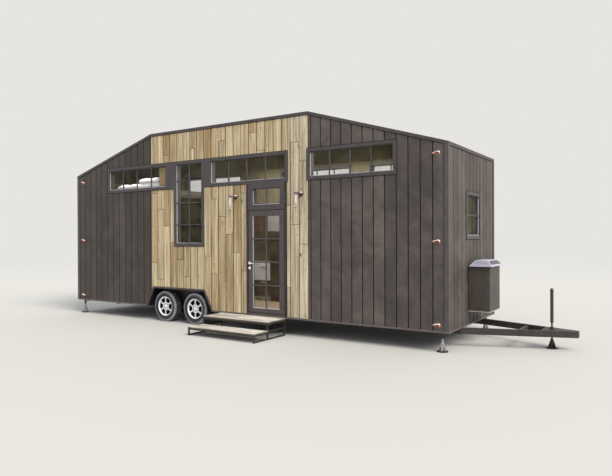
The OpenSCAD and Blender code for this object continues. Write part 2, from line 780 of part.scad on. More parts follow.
module roof_trim() {
    color("#4a4546") placed() difference() {
        along_y(-trim_y, trim_y) roof_layer(-trim_x, trim_x, 0, skin_t);
        block([-face_x, -face_y, 0], [face_x, face_y, ridge_z + over]);
    }
}

module corner_trims() {
    color("#4a4546") placed() intersection() {
        along_y(-trim_y, trim_y) under_roof(-trim_x, trim_x, deck_z, skin_t);
        for (sx = [-1, 1], sy = [-1, 1]) into_corner(sx, sy) difference() {
            block([half_l - corner_w, half_w - corner_w, 0], [trim_x, trim_y, ridge_z]);
            block([0, 0, -over], [face_x, face_y, ridge_z + over]);
        }
    }
}

// Mirrors what stands in the +X +Y quarter into any of the four quarters
module into_corner(sx, sy) { mirror([sx < 0 ? 1 : 0, 0, 0]) mirror([0, sy < 0 ? 1 : 0, 0]) children(); }

module base_rails() {
    color("#4a4546") placed() difference() {
        block([-trim_x, -trim_y, body_z], [trim_x, trim_y, deck_z]);
        block([-face_x, -face_y, body_z - over], [face_x, face_y, deck_z + over]);
        both_sides() along_y(-trim_y - over, -face_y + over) arch_shape(arch_face);
    }
}

// Flat panels that close the band between its windows
module band_panels() {
    color("#4a4546") placed() {
        along_y(-trim_y, -face_y) {
            rect([strip_rear_x1, tall_x0, band_z0, band_z1]);
            rect([tall_x1, strip_mid_x0, band_z0, band_z1]);
        }
        along_y(face_y, trim_y) rect([strip_rear_x1, strip_mid_x0, band_z0, band_z1]);
    }
}

module window_frames() {
    color("#4a4546") placed() {
        for (w = side_windows) frame_ring(w);
        mirror([0, 1, 0]) for (w = back_windows) frame_ring(w);
        for (s = [0, 1]) mirror([s, 0, 0]) at_end() frame_ring(end_window);
    }
}

module window_glass() {
    color("#5b6350", 0.5) placed() {
        for (w = side_windows) pane(w, frame_face);
        mirror([0, 1, 0]) for (w = back_windows) pane(w, frame_face);
        for (s = [0, 1]) mirror([s, 0, 0]) at_end() pane(end_window, frame_face);
        pane(transom, 0);
    }
}

leaf = [door_x0 + jamb_face + leaf_gap, door_x1 - jamb_face - leaf_gap, deck_z + sill_h + leaf_gap,
    leaf_top - leaf_gap];
light = [leaf[0] + stile_w, leaf[1] - stile_w, leaf[2] + kick_h, leaf[3] - stile_w];
leaf_y1 = half_w + 5;
leaf_y0 = leaf_y1 - leaf_t;
stop_w = 16;
module door_frame() {
    hole = [door_x0 + jamb_face, door_x1 - jamb_face, deck_z + sill_h, leaf_top];
    color("#4a4546") placed() {
        along_y(-trim_y, -room_y) difference() {
            rect([door_x0, door_x1, deck_z, door_z1]);
            rect(hole);
            rect(transom);
        }
        along_y(-leaf_y0 + 6, -room_y) difference() { rect(hole); rect(hole, stop_w); }
    }
}

hinge_x = leaf[1] + 2;
hinge_y = trim_y + knuckle_r + 0.5;
hinge_plate_t = 3;
hinge_plate_w = 28;
hinge_zs = [deck_z + hinge_inset, (deck_z + leaf_top) / 2, leaf_top - hinge_inset];
module door_hinges() {
    color("#3a3738") placed() for (z = hinge_zs) translate([hinge_x, -hinge_y, z]) {
        translate([0, 0, -knuckle_h]) cylinder(r = knuckle_r, h = knuckle_h);
        cylinder(r = pin_r, h = knuckle_h - 2);
        block([0, hinge_y - trim_y - hinge_plate_t, -knuckle_h],
            [knuckle_r + hinge_plate_w, hinge_y - trim_y, 0]);
    }
}

module door_leaf() {
    color("#4f4a4b") placed() difference() {
        union() {
            along_y(-leaf_y1, -leaf_y0) difference() { rect(leaf); rect(light); }
            for (z = hinge_zs) translate([hinge_x, -hinge_y, z + 1]) {
                cylinder(r = knuckle_r, h = knuckle_h);
                block([-hinge_plate_w, hinge_plate_t, 0], [0, hinge_y - leaf_y1 + over, knuckle_h]);
            }
            translate([lever_x, -leaf_y1, lever_z]) rotate([90, 0, 0]) cylinder(r = rose_r, h = rose_t);
            translate([lever_x, -leaf_y1, lever_z - keyhole_drop]) rotate([90, 0, 0])
                cylinder(r = rose_r * 0.75, h = rose_t);
        }
        for (z = hinge_zs) translate([hinge_x, -hinge_y, z - 1])
            cylinder(r = pin_r + pin_gap, h = knuckle_h + 4);
        translate([lever_x, -leaf_y0 + over, lever_z]) rotate([90, 0, 0])
            cylinder(r = spindle_r + pin_gap, h = leaf_t + 2 * rose_t);
    }
}

module door_glass() {
    color("#5b6350", 0.5) placed() along_y(-leaf_y1 + 14, -leaf_y1 + 14 + glass_t) rect(light);
}

lever_x = leaf[0] + stile_w / 2 - 4;
module door_lever() {
    grip_t = 14;
    color("#b9b4ac") placed() translate([lever_x, -leaf_y1, lever_z]) rotate([90, 0, 0]) {
        translate([0, 0, -leaf_t - lever_out]) cylinder(r = spindle_r, h = leaf_t + 2 * lever_out);
        for (z = [-leaf_t - lever_out - grip_t, lever_out]) translate([0, 0, z]) {
            cylinder(r = spindle_r + 3, h = grip_t);
            block([0, -lever_half, 2], [lever_l, lever_half, grip_t - 2]);
        }
    }
}

module storage_box() {
    t = sheet_t;
    color("#5a5450") placed() {
        difference() {
            union() {
                block([box_x0, -box_w / 2, box_z0], [box_x1, box_w / 2, box_z1]);
                block([box_x0, -box_w / 2 - box_flange, box_z0],
                    [box_x1 + box_flange, box_w / 2 + box_flange, box_z0 + box_flange_h]);
            }
            block([box_x0 + t, -box_w / 2 + t, box_z0 + t], [box_x1 - t, box_w / 2 - t, box_z1 + over]);
        }
        for (z = [box_z0 + 1.5 * batten_h, box_z1 - 2.5 * batten_h])
            block([face_x, (batten_h - box_w) / 2, z], [box_x0, (box_w - batten_h) / 2, z + batten_h]);
        for (s = [-1, 1]) translate([lid_axis_x, s * box_w / 4, lid_axis_z]) rotate([90, 0, 0]) {
            end_l = lid_hinge_half - lid_middle_half - 3;
            translate([0, 0, -lid_hinge_half]) cylinder(r = lid_pin_r, h = 2 * lid_hinge_half);
            for (z = [-lid_hinge_half, lid_hinge_half - end_l]) {
                translate([0, 0, z]) cylinder(r = lid_knuckle_r, h = end_l);
                block([box_x0 - lid_axis_x, box_z1 - lid_axis_z - over, z], [lid_knuckle_r, 0, z + end_l]);
            }
        }
    }
}

lid_x0 = box_x0 + 24;
lid_z0 = box_z1 + 1;

// The hipped lid's outer form, or with g its hollow, one sheet smaller all round
module lid_form(g) {
    y = box_w / 2 + lid_over;
    z = lid_z0 + lid_rim_h - g;
    x1 = box_x1 + lid_over;
    block([lid_x0 + g, -y + g, lid_z0 - g], [x1 - g, y - g, z]);
    hull() {
        block([lid_x0 + g, -y + g, z - over], [x1 - g, y - g, z]);
        block([lid_x0 + lid_bevel, -y + lid_bevel, z], [x1 - lid_bevel, y - lid_bevel, z + lid_h]);
    }
}

// The raised frame on a bevel whose foot runs along Y through the origin and is 2 * half long
module bevel_frame(half) {
    rise = sqrt(lid_bevel * lid_bevel + lid_h * lid_h);
    module outline(g) {
        polygon([for (p = [[-1, g], [1, g], [1, rise - g], [-1, rise - g]])
            [p[0] * (half - lid_bevel * p[1] / rise - g), p[1]]]);
    }
    rotate([0, -atan2(lid_bevel, lid_h), 0]) rotate([90, 0, 90]) translate([0, 0, -over])
        linear_extrude(lid_frame_t + over) difference() {
            outline(lid_frame_in);
            outline(lid_frame_in + lid_frame_w);
        }
}

module storage_lid() {
    y = box_w / 2 + lid_over;
    x1 = box_x1 + lid_over;
    z = lid_z0 + lid_rim_h;
    color("#9b9aa2") placed() {
        difference() { lid_form(0); lid_form(sheet_t); }
        translate([x1, 0, z]) bevel_frame(y);
        for (s = [-1, 1]) translate([(lid_x0 + x1) / 2, s * y, z]) rotate([0, 0, s * 90])
            bevel_frame((x1 - lid_x0) / 2);
        for (s = [-1, 1]) translate([lid_axis_x, s * box_w / 4, lid_axis_z]) rotate([90, 0, 0])
            difference() {
                union() {
                    translate([0, 0, -lid_middle_half]) cylinder(r = lid_knuckle_r, h = 2 * lid_middle_half);
                    block([0, -3, -lid_middle_half], [lid_x0 + sheet_t - lid_axis_x, 3, lid_middle_half]);
                }
                translate([0, 0, -lid_middle_half - over])
                    cylinder(r = lid_pin_r + pin_gap, h = 2 * (lid_middle_half + over));
            }
    }
}

deck1_y = trim_y;
deck0_y = trim_y + step_d1;
module step_frame() {
    s = step_tube;
    x1 = step_x0 + step_w;
    top1 = step_z1 - board_t;
    top0 = step_z0 - board_t;
    color("#1f1e1e") placed() {
        for (x = [step_x0, x1 - s]) {
            block([x, -step_y0, 0], [x + s, -deck1_y, s]);
            block([x, -step_y0, 0], [x + s, -step_y0 + s, top0]);
            block([x, -deck0_y, 0], [x + s, -deck0_y + s, top1]);
            block([x, -deck1_y - s, 0], [x + s, -deck1_y, top1]);
            block([x, -step_y0, top0 - s], [x + s, -deck0_y, top0]);
            block([x, -deck0_y, top1 - s], [x + s, -deck1_y, top1]);
            block([x, -deck0_y, top0], [x + s, -deck1_y, top0 + s]);
        }
        for (y = [step_y0, deck0_y + s]) block([step_x0, -y, top0 - s], [x1, -y + s, top0]);
        for (y = [deck0_y, deck1_y + s]) block([step_x0, -y, top1 - s], [x1, -y + s, top1]);
    }
}

// Boards along X that cover a step's depth
module step_boards(y0, y1, z1) {
    pitch = (y1 - y0 + board_gap) / board_n;
    for (i = [0 : board_n - 1])
        block([step_x0, -y1 + i * pitch, z1 - board_t],
            [step_x0 + step_w, -y1 + (i + 1) * pitch - board_gap, z1]);
}

module upper_step() { color("#d7cdb4") placed() step_boards(deck1_y, deck0_y, step_z1); }
module lower_step() { color("#d7cdb4") placed() step_boards(deck0_y, step_y0, step_z0); }

// A teardrop lamp on the door side's boards, its round end towards +X
module marker() {
    intersection() {
        rotate([0, 90, 0]) rotate_extrude() polygon(concat([[0, -marker_l + marker_r]],
            [for (a = [0 : 15 : 90]) [marker_r * cos(a), marker_r * sin(a)]]));
        block([-marker_l, -marker_r - over, -marker_r - over], [marker_r + over, clad_t, marker_r + over]);
    }
    block([-marker_l / 3, 0, -marker_r / 2], [marker_r / 2, clad_t, marker_r / 2]);
}

module marker_lamps() {
    color("#c98a4a") placed() {
        for (sx = [0, 1], z = marker_zs) mirror([sx, 0, 0]) both_sides()
            translate([half_l - marker_x, -half_w, z]) marker();
        both_sides() translate([face_x - dome_r, -face_y + dome_r, roof_z(face_x - dome_r) - seam_h])
            difference() {
                sphere(r = dome_r);
                rotate([0, atan(slope), 0]) block([-2 * dome_r, -2 * dome_r, -2 * dome_r],
                    [2 * dome_r, 2 * dome_r, 0]);
            }
    }
}

module wall_lamps() {
    color("#5d5350") placed() for (x = lamp_xs) translate([x, -half_w, lamp_z]) {
        translate([0, clad_t, 0]) rotate([90, 0, 0]) cylinder(r = ball_r * 0.6, h = clad_t);
        difference() {
            sphere(r = ball_r);
            block([-2 * ball_r, 0, -2 * ball_r], [2 * ball_r, 2 * ball_r, 2 * ball_r]);
        }
        rotate([90, 0, 0]) cylinder(r = lamp_arm_r, h = lamp_reach);
        translate([0, -lamp_reach, -lamp_cap_h / 2]) {
            cylinder(r = lamp_glass_r + 2, h = lamp_cap_h);
            translate([0, 0, -lamp_glass_l - over]) cylinder(r = lamp_rod_r, h = lamp_glass_l + 2 * over);
            translate([0, 0, -lamp_glass_l]) rotate_extrude() polygon([[0, -4 * lamp_rod_r],
                [lamp_rod_r * 1.6, -4 * lamp_rod_r], [lamp_rod_r * 1.6, -2 * lamp_rod_r],
                [lamp_rod_r * 3.2, -lamp_rod_r], [lamp_rod_r * 3.2, 0], [0, 0]]);
        }
    }
}

module wall_lamp_glass() {
    color("#e8ecee", 0.4) placed() for (x = lamp_xs)
        translate([x, -half_w - lamp_reach, lamp_z - lamp_cap_h / 2 - lamp_glass_l]) difference() {
            cylinder(r = lamp_glass_r, h = lamp_glass_l);
            translate([0, 0, -over]) cylinder(r = lamp_glass_r - 3, h = lamp_glass_l + 2 * over);
        }
}

// White base cabinets along the back wall, with a worktop and a toe space
module base_cabinets() {
    top = deck_z + worktop_h;
    x1 = kitchen_x0 + cabinet_l;
    y = room_y - cabinet_d;
    color("#dcdad6") placed() difference() {
        union() {
            block([kitchen_x0, y, deck_z + toe], [x1, room_y, top - worktop_t]);
            block([kitchen_x0, y + toe, deck_z], [x1, room_y, deck_z + toe]);
            block([kitchen_x0, y - worktop_over, top - worktop_t], [x1, room_y, top]);
        }
        along_y(well_y - arch_t - cabinet_gap, room_y + over) arch_shape(cabinet_gap);
    }
}

module tall_cabinet() {
    x0 = kitchen_x0 + cabinet_l;
    color("#5f4432") placed() block([x0, room_y - cabinet_d - worktop_over, deck_z],
        [x0 + tall_cabinet_l, room_y, deck_z + tall_cabinet_h]);
}

// A wall cupboard and the cooker hood that hangs beside it
module wall_units() {
    z = deck_z + cupboard_up;
    x1 = kitchen_x0 + cupboard_l;
    color("#4e3a2c") placed() {
        block([kitchen_x0, room_y - cupboard_d, z], [x1, room_y, z + cupboard_h]);
        block([x1 + hood_gap, room_y - hood_d, z - hood_h], [x1 + hood_gap + hood_l, room_y, z]);
    }
}

module loft_floor() {
    color("#c8b48c") placed() block([-room_x, -room_y, loft_z - loft_t], [loft_x1, room_y, loft_z]);
}

module mattress() {
    color("#e8e6e2") placed() block([-room_x + bed_gap + 10, -room_y + bed_gap, loft_z],
        [mattress_x1, room_y - bed_gap, loft_z + mattress_t]);
}

module pillows() {
    color("#f2f1ee") placed() for (i = [1 : pillow_n])
        translate([mattress_x1 - i * (pillow_l + pillow_gap), -room_y + bed_gap + 10, loft_z + mattress_t])
            cube([pillow_l, pillow_w, pillow_t]);
}

// A beige board that stands behind the last pane of the rear strip window
module loft_screen() {
    x1 = strip_rear_x1 + screen_over;
    color("#b79a72") placed() block([x1 - screen_w, -room_y, loft_z],
        [x1, -room_y + screen_t, band_z1 + screen_up]);
}

chassis_frame();
drawbar();
jack_sockets();
tongue_jack_collar();
axles();
floor_deck();
front_wall_rear();
front_wall_oak();
front_wall_over_door();
front_wall_by_door();
front_wall_front();
back_wall_rear();
back_wall_oak();
back_wall_front();
end_wall_front();
end_wall_rear();
roof_rear_slope();
roof_flat();
roof_front_slope();
roof_trim();
corner_trims();
base_rails();
band_panels();
window_frames();
window_glass();
door_frame();
door_hinges();
door_leaf();
door_glass();
door_lever();
wheel_arches();
tyre(wheel_xs[0], -1);  // tyre_near_front
tyre(wheel_xs[1], -1);  // tyre_near_rear
tyre(wheel_xs[0], 1);  // tyre_far_front
tyre(wheel_xs[1], 1);  // tyre_far_rear
rim(wheel_xs[0], -1);  // rim_near_front
rim(wheel_xs[1], -1);  // rim_near_rear
rim(wheel_xs[0], 1);  // rim_far_front
rim(wheel_xs[1], 1);  // rim_far_rear
tongue_jack();
corner_jack(1, -1);  // corner_jack_near_front
corner_jack(-1, -1);  // corner_jack_near_rear
corner_jack(1, 1);  // corner_jack_far_front
corner_jack(-1, 1);  // corner_jack_far_rear
storage_box();
storage_lid();
step_frame();
upper_step();
lower_step();
marker_lamps();
wall_lamps();
wall_lamp_glass();
loft_floor();
mattress();
pillows();
loft_screen();
base_cabinets();
tall_cabinet();
wall_units();
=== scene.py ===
"""Looks of a tiny house on a two-axle trailer: boards, glazing, wheels, lamps, bedding, finishes.

Shapes are worked out in the house's own frame in metres: X along the house towards the drawbar,
-Y out of the door side, Z up, with the origin under the middle of the floor deck.
"""
import math
from functools import cached_property

import bmesh
import bpy
import numpy as np
from mathutils import Matrix, Vector


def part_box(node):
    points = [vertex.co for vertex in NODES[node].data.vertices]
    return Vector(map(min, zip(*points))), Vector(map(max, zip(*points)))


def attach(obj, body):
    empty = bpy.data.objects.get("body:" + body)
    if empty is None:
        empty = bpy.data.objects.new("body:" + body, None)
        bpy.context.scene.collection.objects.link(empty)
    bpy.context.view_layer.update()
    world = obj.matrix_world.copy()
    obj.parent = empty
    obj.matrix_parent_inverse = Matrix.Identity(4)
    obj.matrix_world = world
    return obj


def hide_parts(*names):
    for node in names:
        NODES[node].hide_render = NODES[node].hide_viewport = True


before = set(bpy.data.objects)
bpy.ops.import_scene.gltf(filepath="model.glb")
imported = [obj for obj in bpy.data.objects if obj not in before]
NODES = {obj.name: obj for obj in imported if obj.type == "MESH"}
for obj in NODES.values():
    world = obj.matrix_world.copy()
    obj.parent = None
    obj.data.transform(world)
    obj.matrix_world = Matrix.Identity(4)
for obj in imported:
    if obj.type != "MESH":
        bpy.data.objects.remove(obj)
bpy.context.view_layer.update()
TAU = 2 * math.pi

# Where the house's own frame lies in the row's frame
deck_lo, deck_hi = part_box("floor_deck")
HOUSE = np.array([(deck_lo.x + deck_hi.x) / 2, (deck_lo.y + deck_hi.y) / 2, 0.0])


def house_box(node):
    """A node's two corners in the house's own frame."""
    lo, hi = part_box(node)
    return np.array(lo) - HOUSE, np.array(hi) - HOUSE


# Driving sizes, read from the frame where a node gives them
FACE_X, FACE_Y, DECK_Z = house_box("floor_deck")[1]
BODY_Z = house_box("floor_deck")[0][2]
TRIM_X, TRIM_Y, RIDGE_Z = house_box("roof_trim")[1]
FLAT_HALF = house_box("roof_flat")[1][0]
CLAD, SKIN = 0.020, 0.055
EAVES_Z = 3.234
HALF_L, HALF_W = FACE_X + CLAD, FACE_Y + CLAD
PROUD = TRIM_Y - HALF_W
SLOPE = (RIDGE_Z - EAVES_Z) / (HALF_L - FLAT_HALF)
CORNER_W, FRAME_FACE, GLASS_RECESS = 0.059, 0.060, 0.035
BAND_Z = (2.780, 3.335)
STRIP_REAR = (-3.420, -1.487, *BAND_Z)
TALL = (-1.310, -0.475, 1.593, BAND_Z[1])
STRIP_MID = (-0.347, 1.563, *BAND_Z)
STRIP_FRONT = (1.974, 3.684, *BAND_Z)
END_WINDOW = (-0.405, 0.405, 1.730, 2.530)
DOOR = (0.616, 1.536, DECK_Z, BAND_Z[0])
JAMB, STILE = 0.042, 0.097
LIGHT_Z = (2.381, 2.682)
ARCH_X, ARCH_HALF0, ARCH_HALF1, ARCH_Z, ARCH_FACE = -1.205, 0.9315, 0.7185, 0.700, 0.035

# What each long side holds: its windows, the panels between them, and its door
SIDES = {
    "front": (-1, [STRIP_REAR, TALL, STRIP_MID, STRIP_FRONT],
              [(STRIP_REAR[1], TALL[0], *BAND_Z), (TALL[1], STRIP_MID[0], *BAND_Z)], [DOOR]),
    "back": (1, [STRIP_REAR, STRIP_MID, STRIP_FRONT], [(STRIP_REAR[1], STRIP_MID[0], *BAND_Z)], []),
}


def roof_z(x):
    """The roof's top: flat in the middle, then falling evenly towards both ends."""
    return RIDGE_Z - SLOPE * np.maximum(np.abs(x) - FLAT_HALF, 0)


def operator(kind, swapped=False):
    """A method that adds a Math node of that kind; swapped puts the socket after the other value."""
    def method(sock, *others):
        return sock.paint.math(kind, *((*others, sock) if swapped else (sock, *others)))
    return method


class Sock:
    """An output socket of a node tree. Arithmetic on it adds Math nodes."""

    def __init__(self, paint, out):
        self.paint, self.out = paint, out

    __add__ = __radd__ = operator("ADD")
    __sub__, __rsub__ = operator("SUBTRACT"), operator("SUBTRACT", swapped=True)
    __mul__ = __rmul__ = operator("MULTIPLY")
    __gt__, __lt__ = operator("GREATER_THAN"), operator("LESS_THAN")
    __or__ = operator("MAXIMUM")
    __abs__ = operator("ABSOLUTE")


class Paint:
    """A material or world being built: its shader, and short calls for the nodes that feed it."""

    def __init__(self, owner, shader="Principled BSDF"):
        owner.use_nodes = True
        self.owner, self.tree = owner, owner.node_tree
        self.shader = self.tree.nodes[shader]

    @cached_property
    def place(self):
        """Object coordinates."""
        return self.node("ShaderNodeTexCoord", {}, {}, out="Object")

    def node(self, kind, settings, inputs, out=0):
        """A node of that type: its settings first, then the values or links of its sockets."""
        made = self.tree.nodes.new(kind)
        for key, value in settings.items():
            if key == "stops":
                self.stops(made.color_ramp, value)
            else:
                setattr(made, key, value)
        for key, value in inputs.items():
            self.feed(made.inputs[key], value)
        return Sock(self, made.outputs[out])

    def stops(self, ramp, stops):
        """Gives a colour ramp its stops, as (place, colour) pairs."""
        for i, (place, colour) in enumerate(stops):
            stop = ramp.elements[i] if i < len(ramp.elements) else ramp.elements.new(place)
            stop.position = place
            stop.color = (*rgb(colour), 1)

    def feed(self, socket, value):
        if isinstance(value, Sock):
            self.tree.links.new(value.out, socket)
        elif socket.type == "RGBA":
            socket.default_value = (*rgb(value), 1)
        else:
            socket.default_value = value

    def set(self, **inputs):
        """Feeds the shader; base_color stands for the socket named Base Color."""
        names = {s.name.lower().replace(" ", "_"): s for s in self.shader.inputs}
        for key, value in inputs.items():
            self.feed(names[key], value)

    def math(self, operation, *values):
        return self.node("ShaderNodeMath", {"operation": operation}, dict(enumerate(values)))

    def vector(self, operation, a, b):
        return self.node("ShaderNodeVectorMath", {"operation": operation}, {0: a, 1: b})

    def scaled(self, factors, where=None):
        """Coordinates, Object ones unless others are given, scaled along each axis."""
        return self.vector("MULTIPLY", where or self.place, factors)

    def noise(self, scale, detail=4.0, rough=0.55, where=None, distort=0.0):
        return self.node("ShaderNodeTexNoise", {"normalize": True},
                         {"Vector": where or self.place, "Scale": scale, "Detail": detail,
                          "Roughness": rough, "Distortion": distort})

    def grain(self, factors, detail, rough, where=None):
        """Noise whose coordinates are scaled by those factors, so that it runs along an axis."""
        return self.noise(1.0, detail, rough, self.scaled(factors, where))

    def cells(self, where):
        """Distance to the nearest of scattered points, about one in each unit cube."""
        return self.node("ShaderNodeTexVoronoi", {"feature": "F1"}, {"Vector": where, "Scale": 1.0},
                         out="Distance")

    def dice(self, turn=0.0):
        """A random number for each board."""
        return self.node("ShaderNodeTexWhiteNoise", {"noise_dimensions": "1D"},
                         {"W": self.attribute("board") + turn})

    def ramp(self, fac, *stops):
        return self.node("ShaderNodeValToRGB", {"stops": stops}, {0: fac})

    def level(self, fac, low, high):
        """0 below low, 1 above high, and a straight line between them."""
        return self.node("ShaderNodeMapRange", {"clamp": True}, {0: fac, 1: low, 2: high})

    def mix(self, fac, a, b, how="MIX"):
        return self.node("ShaderNodeMix", {"data_type": "RGBA", "blend_type": how},
                         {0: fac, 6: a, 7: b}, out=2)

    def shade(self, colour, fac, low):
        """A colour darkened to the share low where fac is 0, and as it is where fac is 1."""
        return self.mix(1.0, colour, self.ramp(fac, (0, (low,) * 3), (1, (1, 1, 1))), "MULTIPLY")

    def attribute(self, name):
        return self.node("ShaderNodeAttribute", {"attribute_name": name}, {}, out="Fac")

    def at(self, axis):
        """The place along one axis of the house's frame."""
        return self.node("ShaderNodeSeparateXYZ", {}, {0: self.place}, out=axis) - float(HOUSE[axis])

    def seen(self):
        """1 for what is seen straight, mirrored or through glass, and 0 for what only lights."""
        straight, mirrored, through = (self.node("ShaderNodeLightPath", {}, {}, out=f"Is {ray} Ray")
                                       for ray in ("Camera", "Glossy", "Transmission"))
        return straight | mirrored | through

    def finished(self, height, strength, distance, **inputs):
        """Feeds the shader, with a bump of that height, and gives the material."""
        bump = {"Height": height, "Strength": strength, "Distance": distance}
        self.set(normal=self.node("ShaderNodeBump", {}, bump), **inputs)
        return self.owner


def paint(name):
    return Paint(bpy.data.materials.new(name))


def rgb(colour):
    """Linear values of a colour written as six hex digits. A colour given as values stays as it is."""
    if not isinstance(colour, str):
        return colour
    parts = [int(colour[i:i + 2], 16) / 255 for i in (0, 2, 4)]
    return tuple(c / 12.92 if c <= 0.04045 else ((c + 0.055) / 1.055) ** 2.4 for c in parts)


# Finishes


def board_place(p):
    """Object coordinates shifted for each board by its own number, so that no grain runs on."""
    jump = p.attribute("board") * 7.3
    return p.vector("ADD", p.place, p.node("ShaderNodeCombineXYZ", {},
                                           {0: jump, 1: jump * 0.37, 2: jump * 1.7}))


def charcoal_boards(name, tones):
    """Charcoal-stained boards: soft clouds, faint upright grain, a tone of their own, dark edges."""
    p = paint(name)
    where = board_place(p)
    clouds = p.noise(2.1, 5.0, 0.6, distort=0.6)
    fine = p.noise(7.0, 4.0, 0.6, where)
    grain = p.grain((55, 55, 1.8), 5.0, 0.65, where)
    fac = clouds * 0.46 + fine * 0.24 + grain * 0.14 + p.dice() * 0.16
    colour = p.ramp(fac, *zip((0.35, 0.45, 0.54, 0.66), tones))
    return p.finished(grain * 0.7 + fine * 0.3, 0.35, 0.002,
                      base_color=p.mix(p.attribute("edge") * 0.9, colour, "161312"),
                      roughness=p.level(fine, 0.2, 0.8) * 0.16 + 0.52)


def oak_boards():
    """Natural oak: each board its own tone, long streaks, wavy figure, knots and worm holes.

    The boards right of the door have faded.
    """
    p = paint("oak_boards")
    where = board_place(p)
    colour = p.ramp(p.dice(), (0.0, "bda071"), (0.3, "cfb68a"), (0.62, "dfcca3"),
                    (1.0, "dac49c"))
    broad = p.grain((17, 17, 0.55), 3.0, 0.5, where)
    middle = p.grain((62, 62, 1.3), 5.0, 0.65, where)
    pores = p.grain((260, 260, 7), 3.0, 0.7, where)
    figure = p.node("ShaderNodeTexWave", {"bands_direction": "X", "wave_profile": "SAW"},
                    {"Vector": p.scaled((1, 0.2, 0.06), where), "Scale": 7.0, "Distortion": 11.0,
                     "Detail": 2.5, "Detail Scale": 1.1})
    figured = figure * p.level(p.dice(turn=9.0), 0.35, 0.65)
    faded = p.level(p.at(0), DOOR[1] - 0.1, DOOR[1] + 0.1)
    colour = p.mix(faded * 0.6, colour, "eadfca")
    colour = p.mix(p.level(broad, 0.42, 0.66) * 0.7, colour, "9a7e54")
    colour = p.mix(p.level(p.grain((9, 9, 0.8), 3.0, 0.5, where), 0.5, 0.7) * 0.55,
                   colour, "eadfc4")
    colour = p.shade(colour, p.level(middle, 0.36, 0.6), 0.5)
    colour = p.shade(colour, 1 - figured * 0.75, 0.5)
    colour = p.shade(colour, p.level(pores, 0.3, 0.6), 0.82)
    seat = p.noise(9.0, 3.0, 0.6, where)
    rare = p.noise(0.9, 1.0, 0.5, where) > 0.56
    knot = (1 - p.level(p.cells(p.scaled((4.2, 4.2, 1.5), where)) + seat * 0.08, 0.08, 0.15)) * rare
    strings = p.level(p.grain((16, 16, 1.6), 2.0, 0.5, where), 0.56, 0.6)
    hole = (1 - p.level(p.cells(p.scaled((42, 42, 17), where)), 0.16, 0.3)) * strings
    crack = p.level(p.grain((30, 30, 0.8), 6.0, 0.8, where), 0.63, 0.7)
    colour = p.mix(knot | hole * 0.9, colour, "45311d")
    colour = p.mix(crack * 0.75, colour, "66502f")
    colour = p.mix(p.attribute("edge") * 0.9, colour, "46341e")
    return p.finished(middle * 0.6 - (knot | hole) * 0.8 - crack * 0.7, 0.5, 0.0025,
                      base_color=colour, roughness=0.64 + middle * 0.2)


def painted(name, colour, dark, rough=0.42, grit=0.25, metallic=0.0, coat=0.0, patch=None):
    """Sprayed metal: a slight haze, fine orange peel and dust, the share grit of it.

    A patch recolours a part of it.
    """
    p = paint(name)
    haze = p.noise(3.5, 4.0, 0.6)
    peel = p.noise(420.0, 2.0, 0.5)
    dust = p.noise(22.0, 6.0, 0.7)
    base = p.mix(p.level(haze, 0.3, 0.7), dark, colour)
    if patch:
        base = patch(p, base)
    base = p.mix(p.level(dust, 0.52, 0.8) * grit, base, "8d857c")
    return p.finished(peel + dust * 0.5, 0.08, 0.001, base_color=base, metallic=metallic,
                      coat_weight=coat, roughness=p.level(dust, 0.3, 0.8) * 0.18 + rough)


def shaded_well_sheets(p, base):
    """The wheel wells' inner sheets are painted near black, a painted shade of the dark under the house,
    and only the frame on the boards is painted in the trim's colour.
    """
    return p.mix(abs(p.at(1)) < FACE_Y - 0.001, base, "121112")


def shadowed_jambs(p, base):
    """The door frame's two outer jambs are painted nearly black: a painted shadow along the door's sides.
    """
    off = abs(p.at(0) - (DOOR[0] + DOOR[1]) / 2)
    return p.mix(off > (DOOR[1] - DOOR[0]) / 2 - JAMB, base, "1c191a")


def zinc_foot(p, base):
    """A corner jack's rod and foot are galvanised in two greys, and its base is dark."""
    zinc = p.mix(p.level(p.noise(38.0), 0.4, 0.6), "77757a", "a7a5ad")
    return p.mix(p.level(p.at(2), *ZINC_Z), base, zinc)


def lit_returns(p, base):
    """The corner trims' narrow faces on the end walls are painted a little paler: painted light, where
    light falls on the ends.
    """
    edge = (abs(p.at(0)) > TRIM_X - 0.002) * (abs(p.at(1)) > HALF_W - RETURN_W)
    return p.mix(edge, base, "4d474a")


def shaded_pockets(p, base):
    """A wheel is painted black behind its machined face, and on it in its pockets: painted shade in its
    openings and recesses.

    One pocket lies round each opening, at every sixth of a turn, and smaller ones between the
    nuts. Places are taken about the nearest wheel's centre.
    """
    reach = abs(p.at(1)) - WHEEL_Y
    x, z = abs(p.at(0) - ARCH_X) - WHEEL_APART, p.at(2) - TYRE_R
    turn = p.math("PINGPONG", p.math("ARCTAN2", z, x), TAU / 12)
    r = p.math("SQRT", x * x + z * z)
    pocket = (turn < POCKET_TURN) * (r > POCKET_R[0]) * (r < POCKET_R[1])
    dot = (turn > DOT_TURN) * (r > DOT_R[0]) * (r < DOT_R[1])
    return p.mix(p.level(reach, *RIM_FACE) * (1 - (pocket | dot * 0.8)), "0d0d0e", base)


def flange_highlight(p, base):
    """The box's bottom flange is painted paler: a painted highlight along its edge."""
    foot = float(house_box("storage_box")[0][2])
    return p.mix(p.at(2) < foot + FLANGE_H, base, "aaa49e")


def painted_ball_reflection(p, base):
    """A lamp's ball is painted pale above its arm and dark beneath: a painted reflection, as polished metal
    out of doors shows sky above and ground below.
    """
    middle = float(house_box("wall_lamps")[1][2]) - BALL_R
    return p.mix(p.level(p.at(2), middle - 0.02, middle + 0.03), "2c2523", base)


def alloy():
    """Machined and lacquered aluminium with fine turning marks and grime, and painted shade, black, in its
    pockets and behind its face.
    """
    p = paint("alloy")
    marks = p.noise(90.0, 3.0, 0.6)
    grime = p.noise(26.0, 6.0, 0.7)
    face = p.mix(p.level(grime, 0.5, 0.8) * 0.5, "eeeef2", "8d8a88")
    return p.finished(marks, 0.06, 0.0008, base_color=shaded_pockets(p, face), metallic=0.5,
                      roughness=0.28 + marks * 0.16)


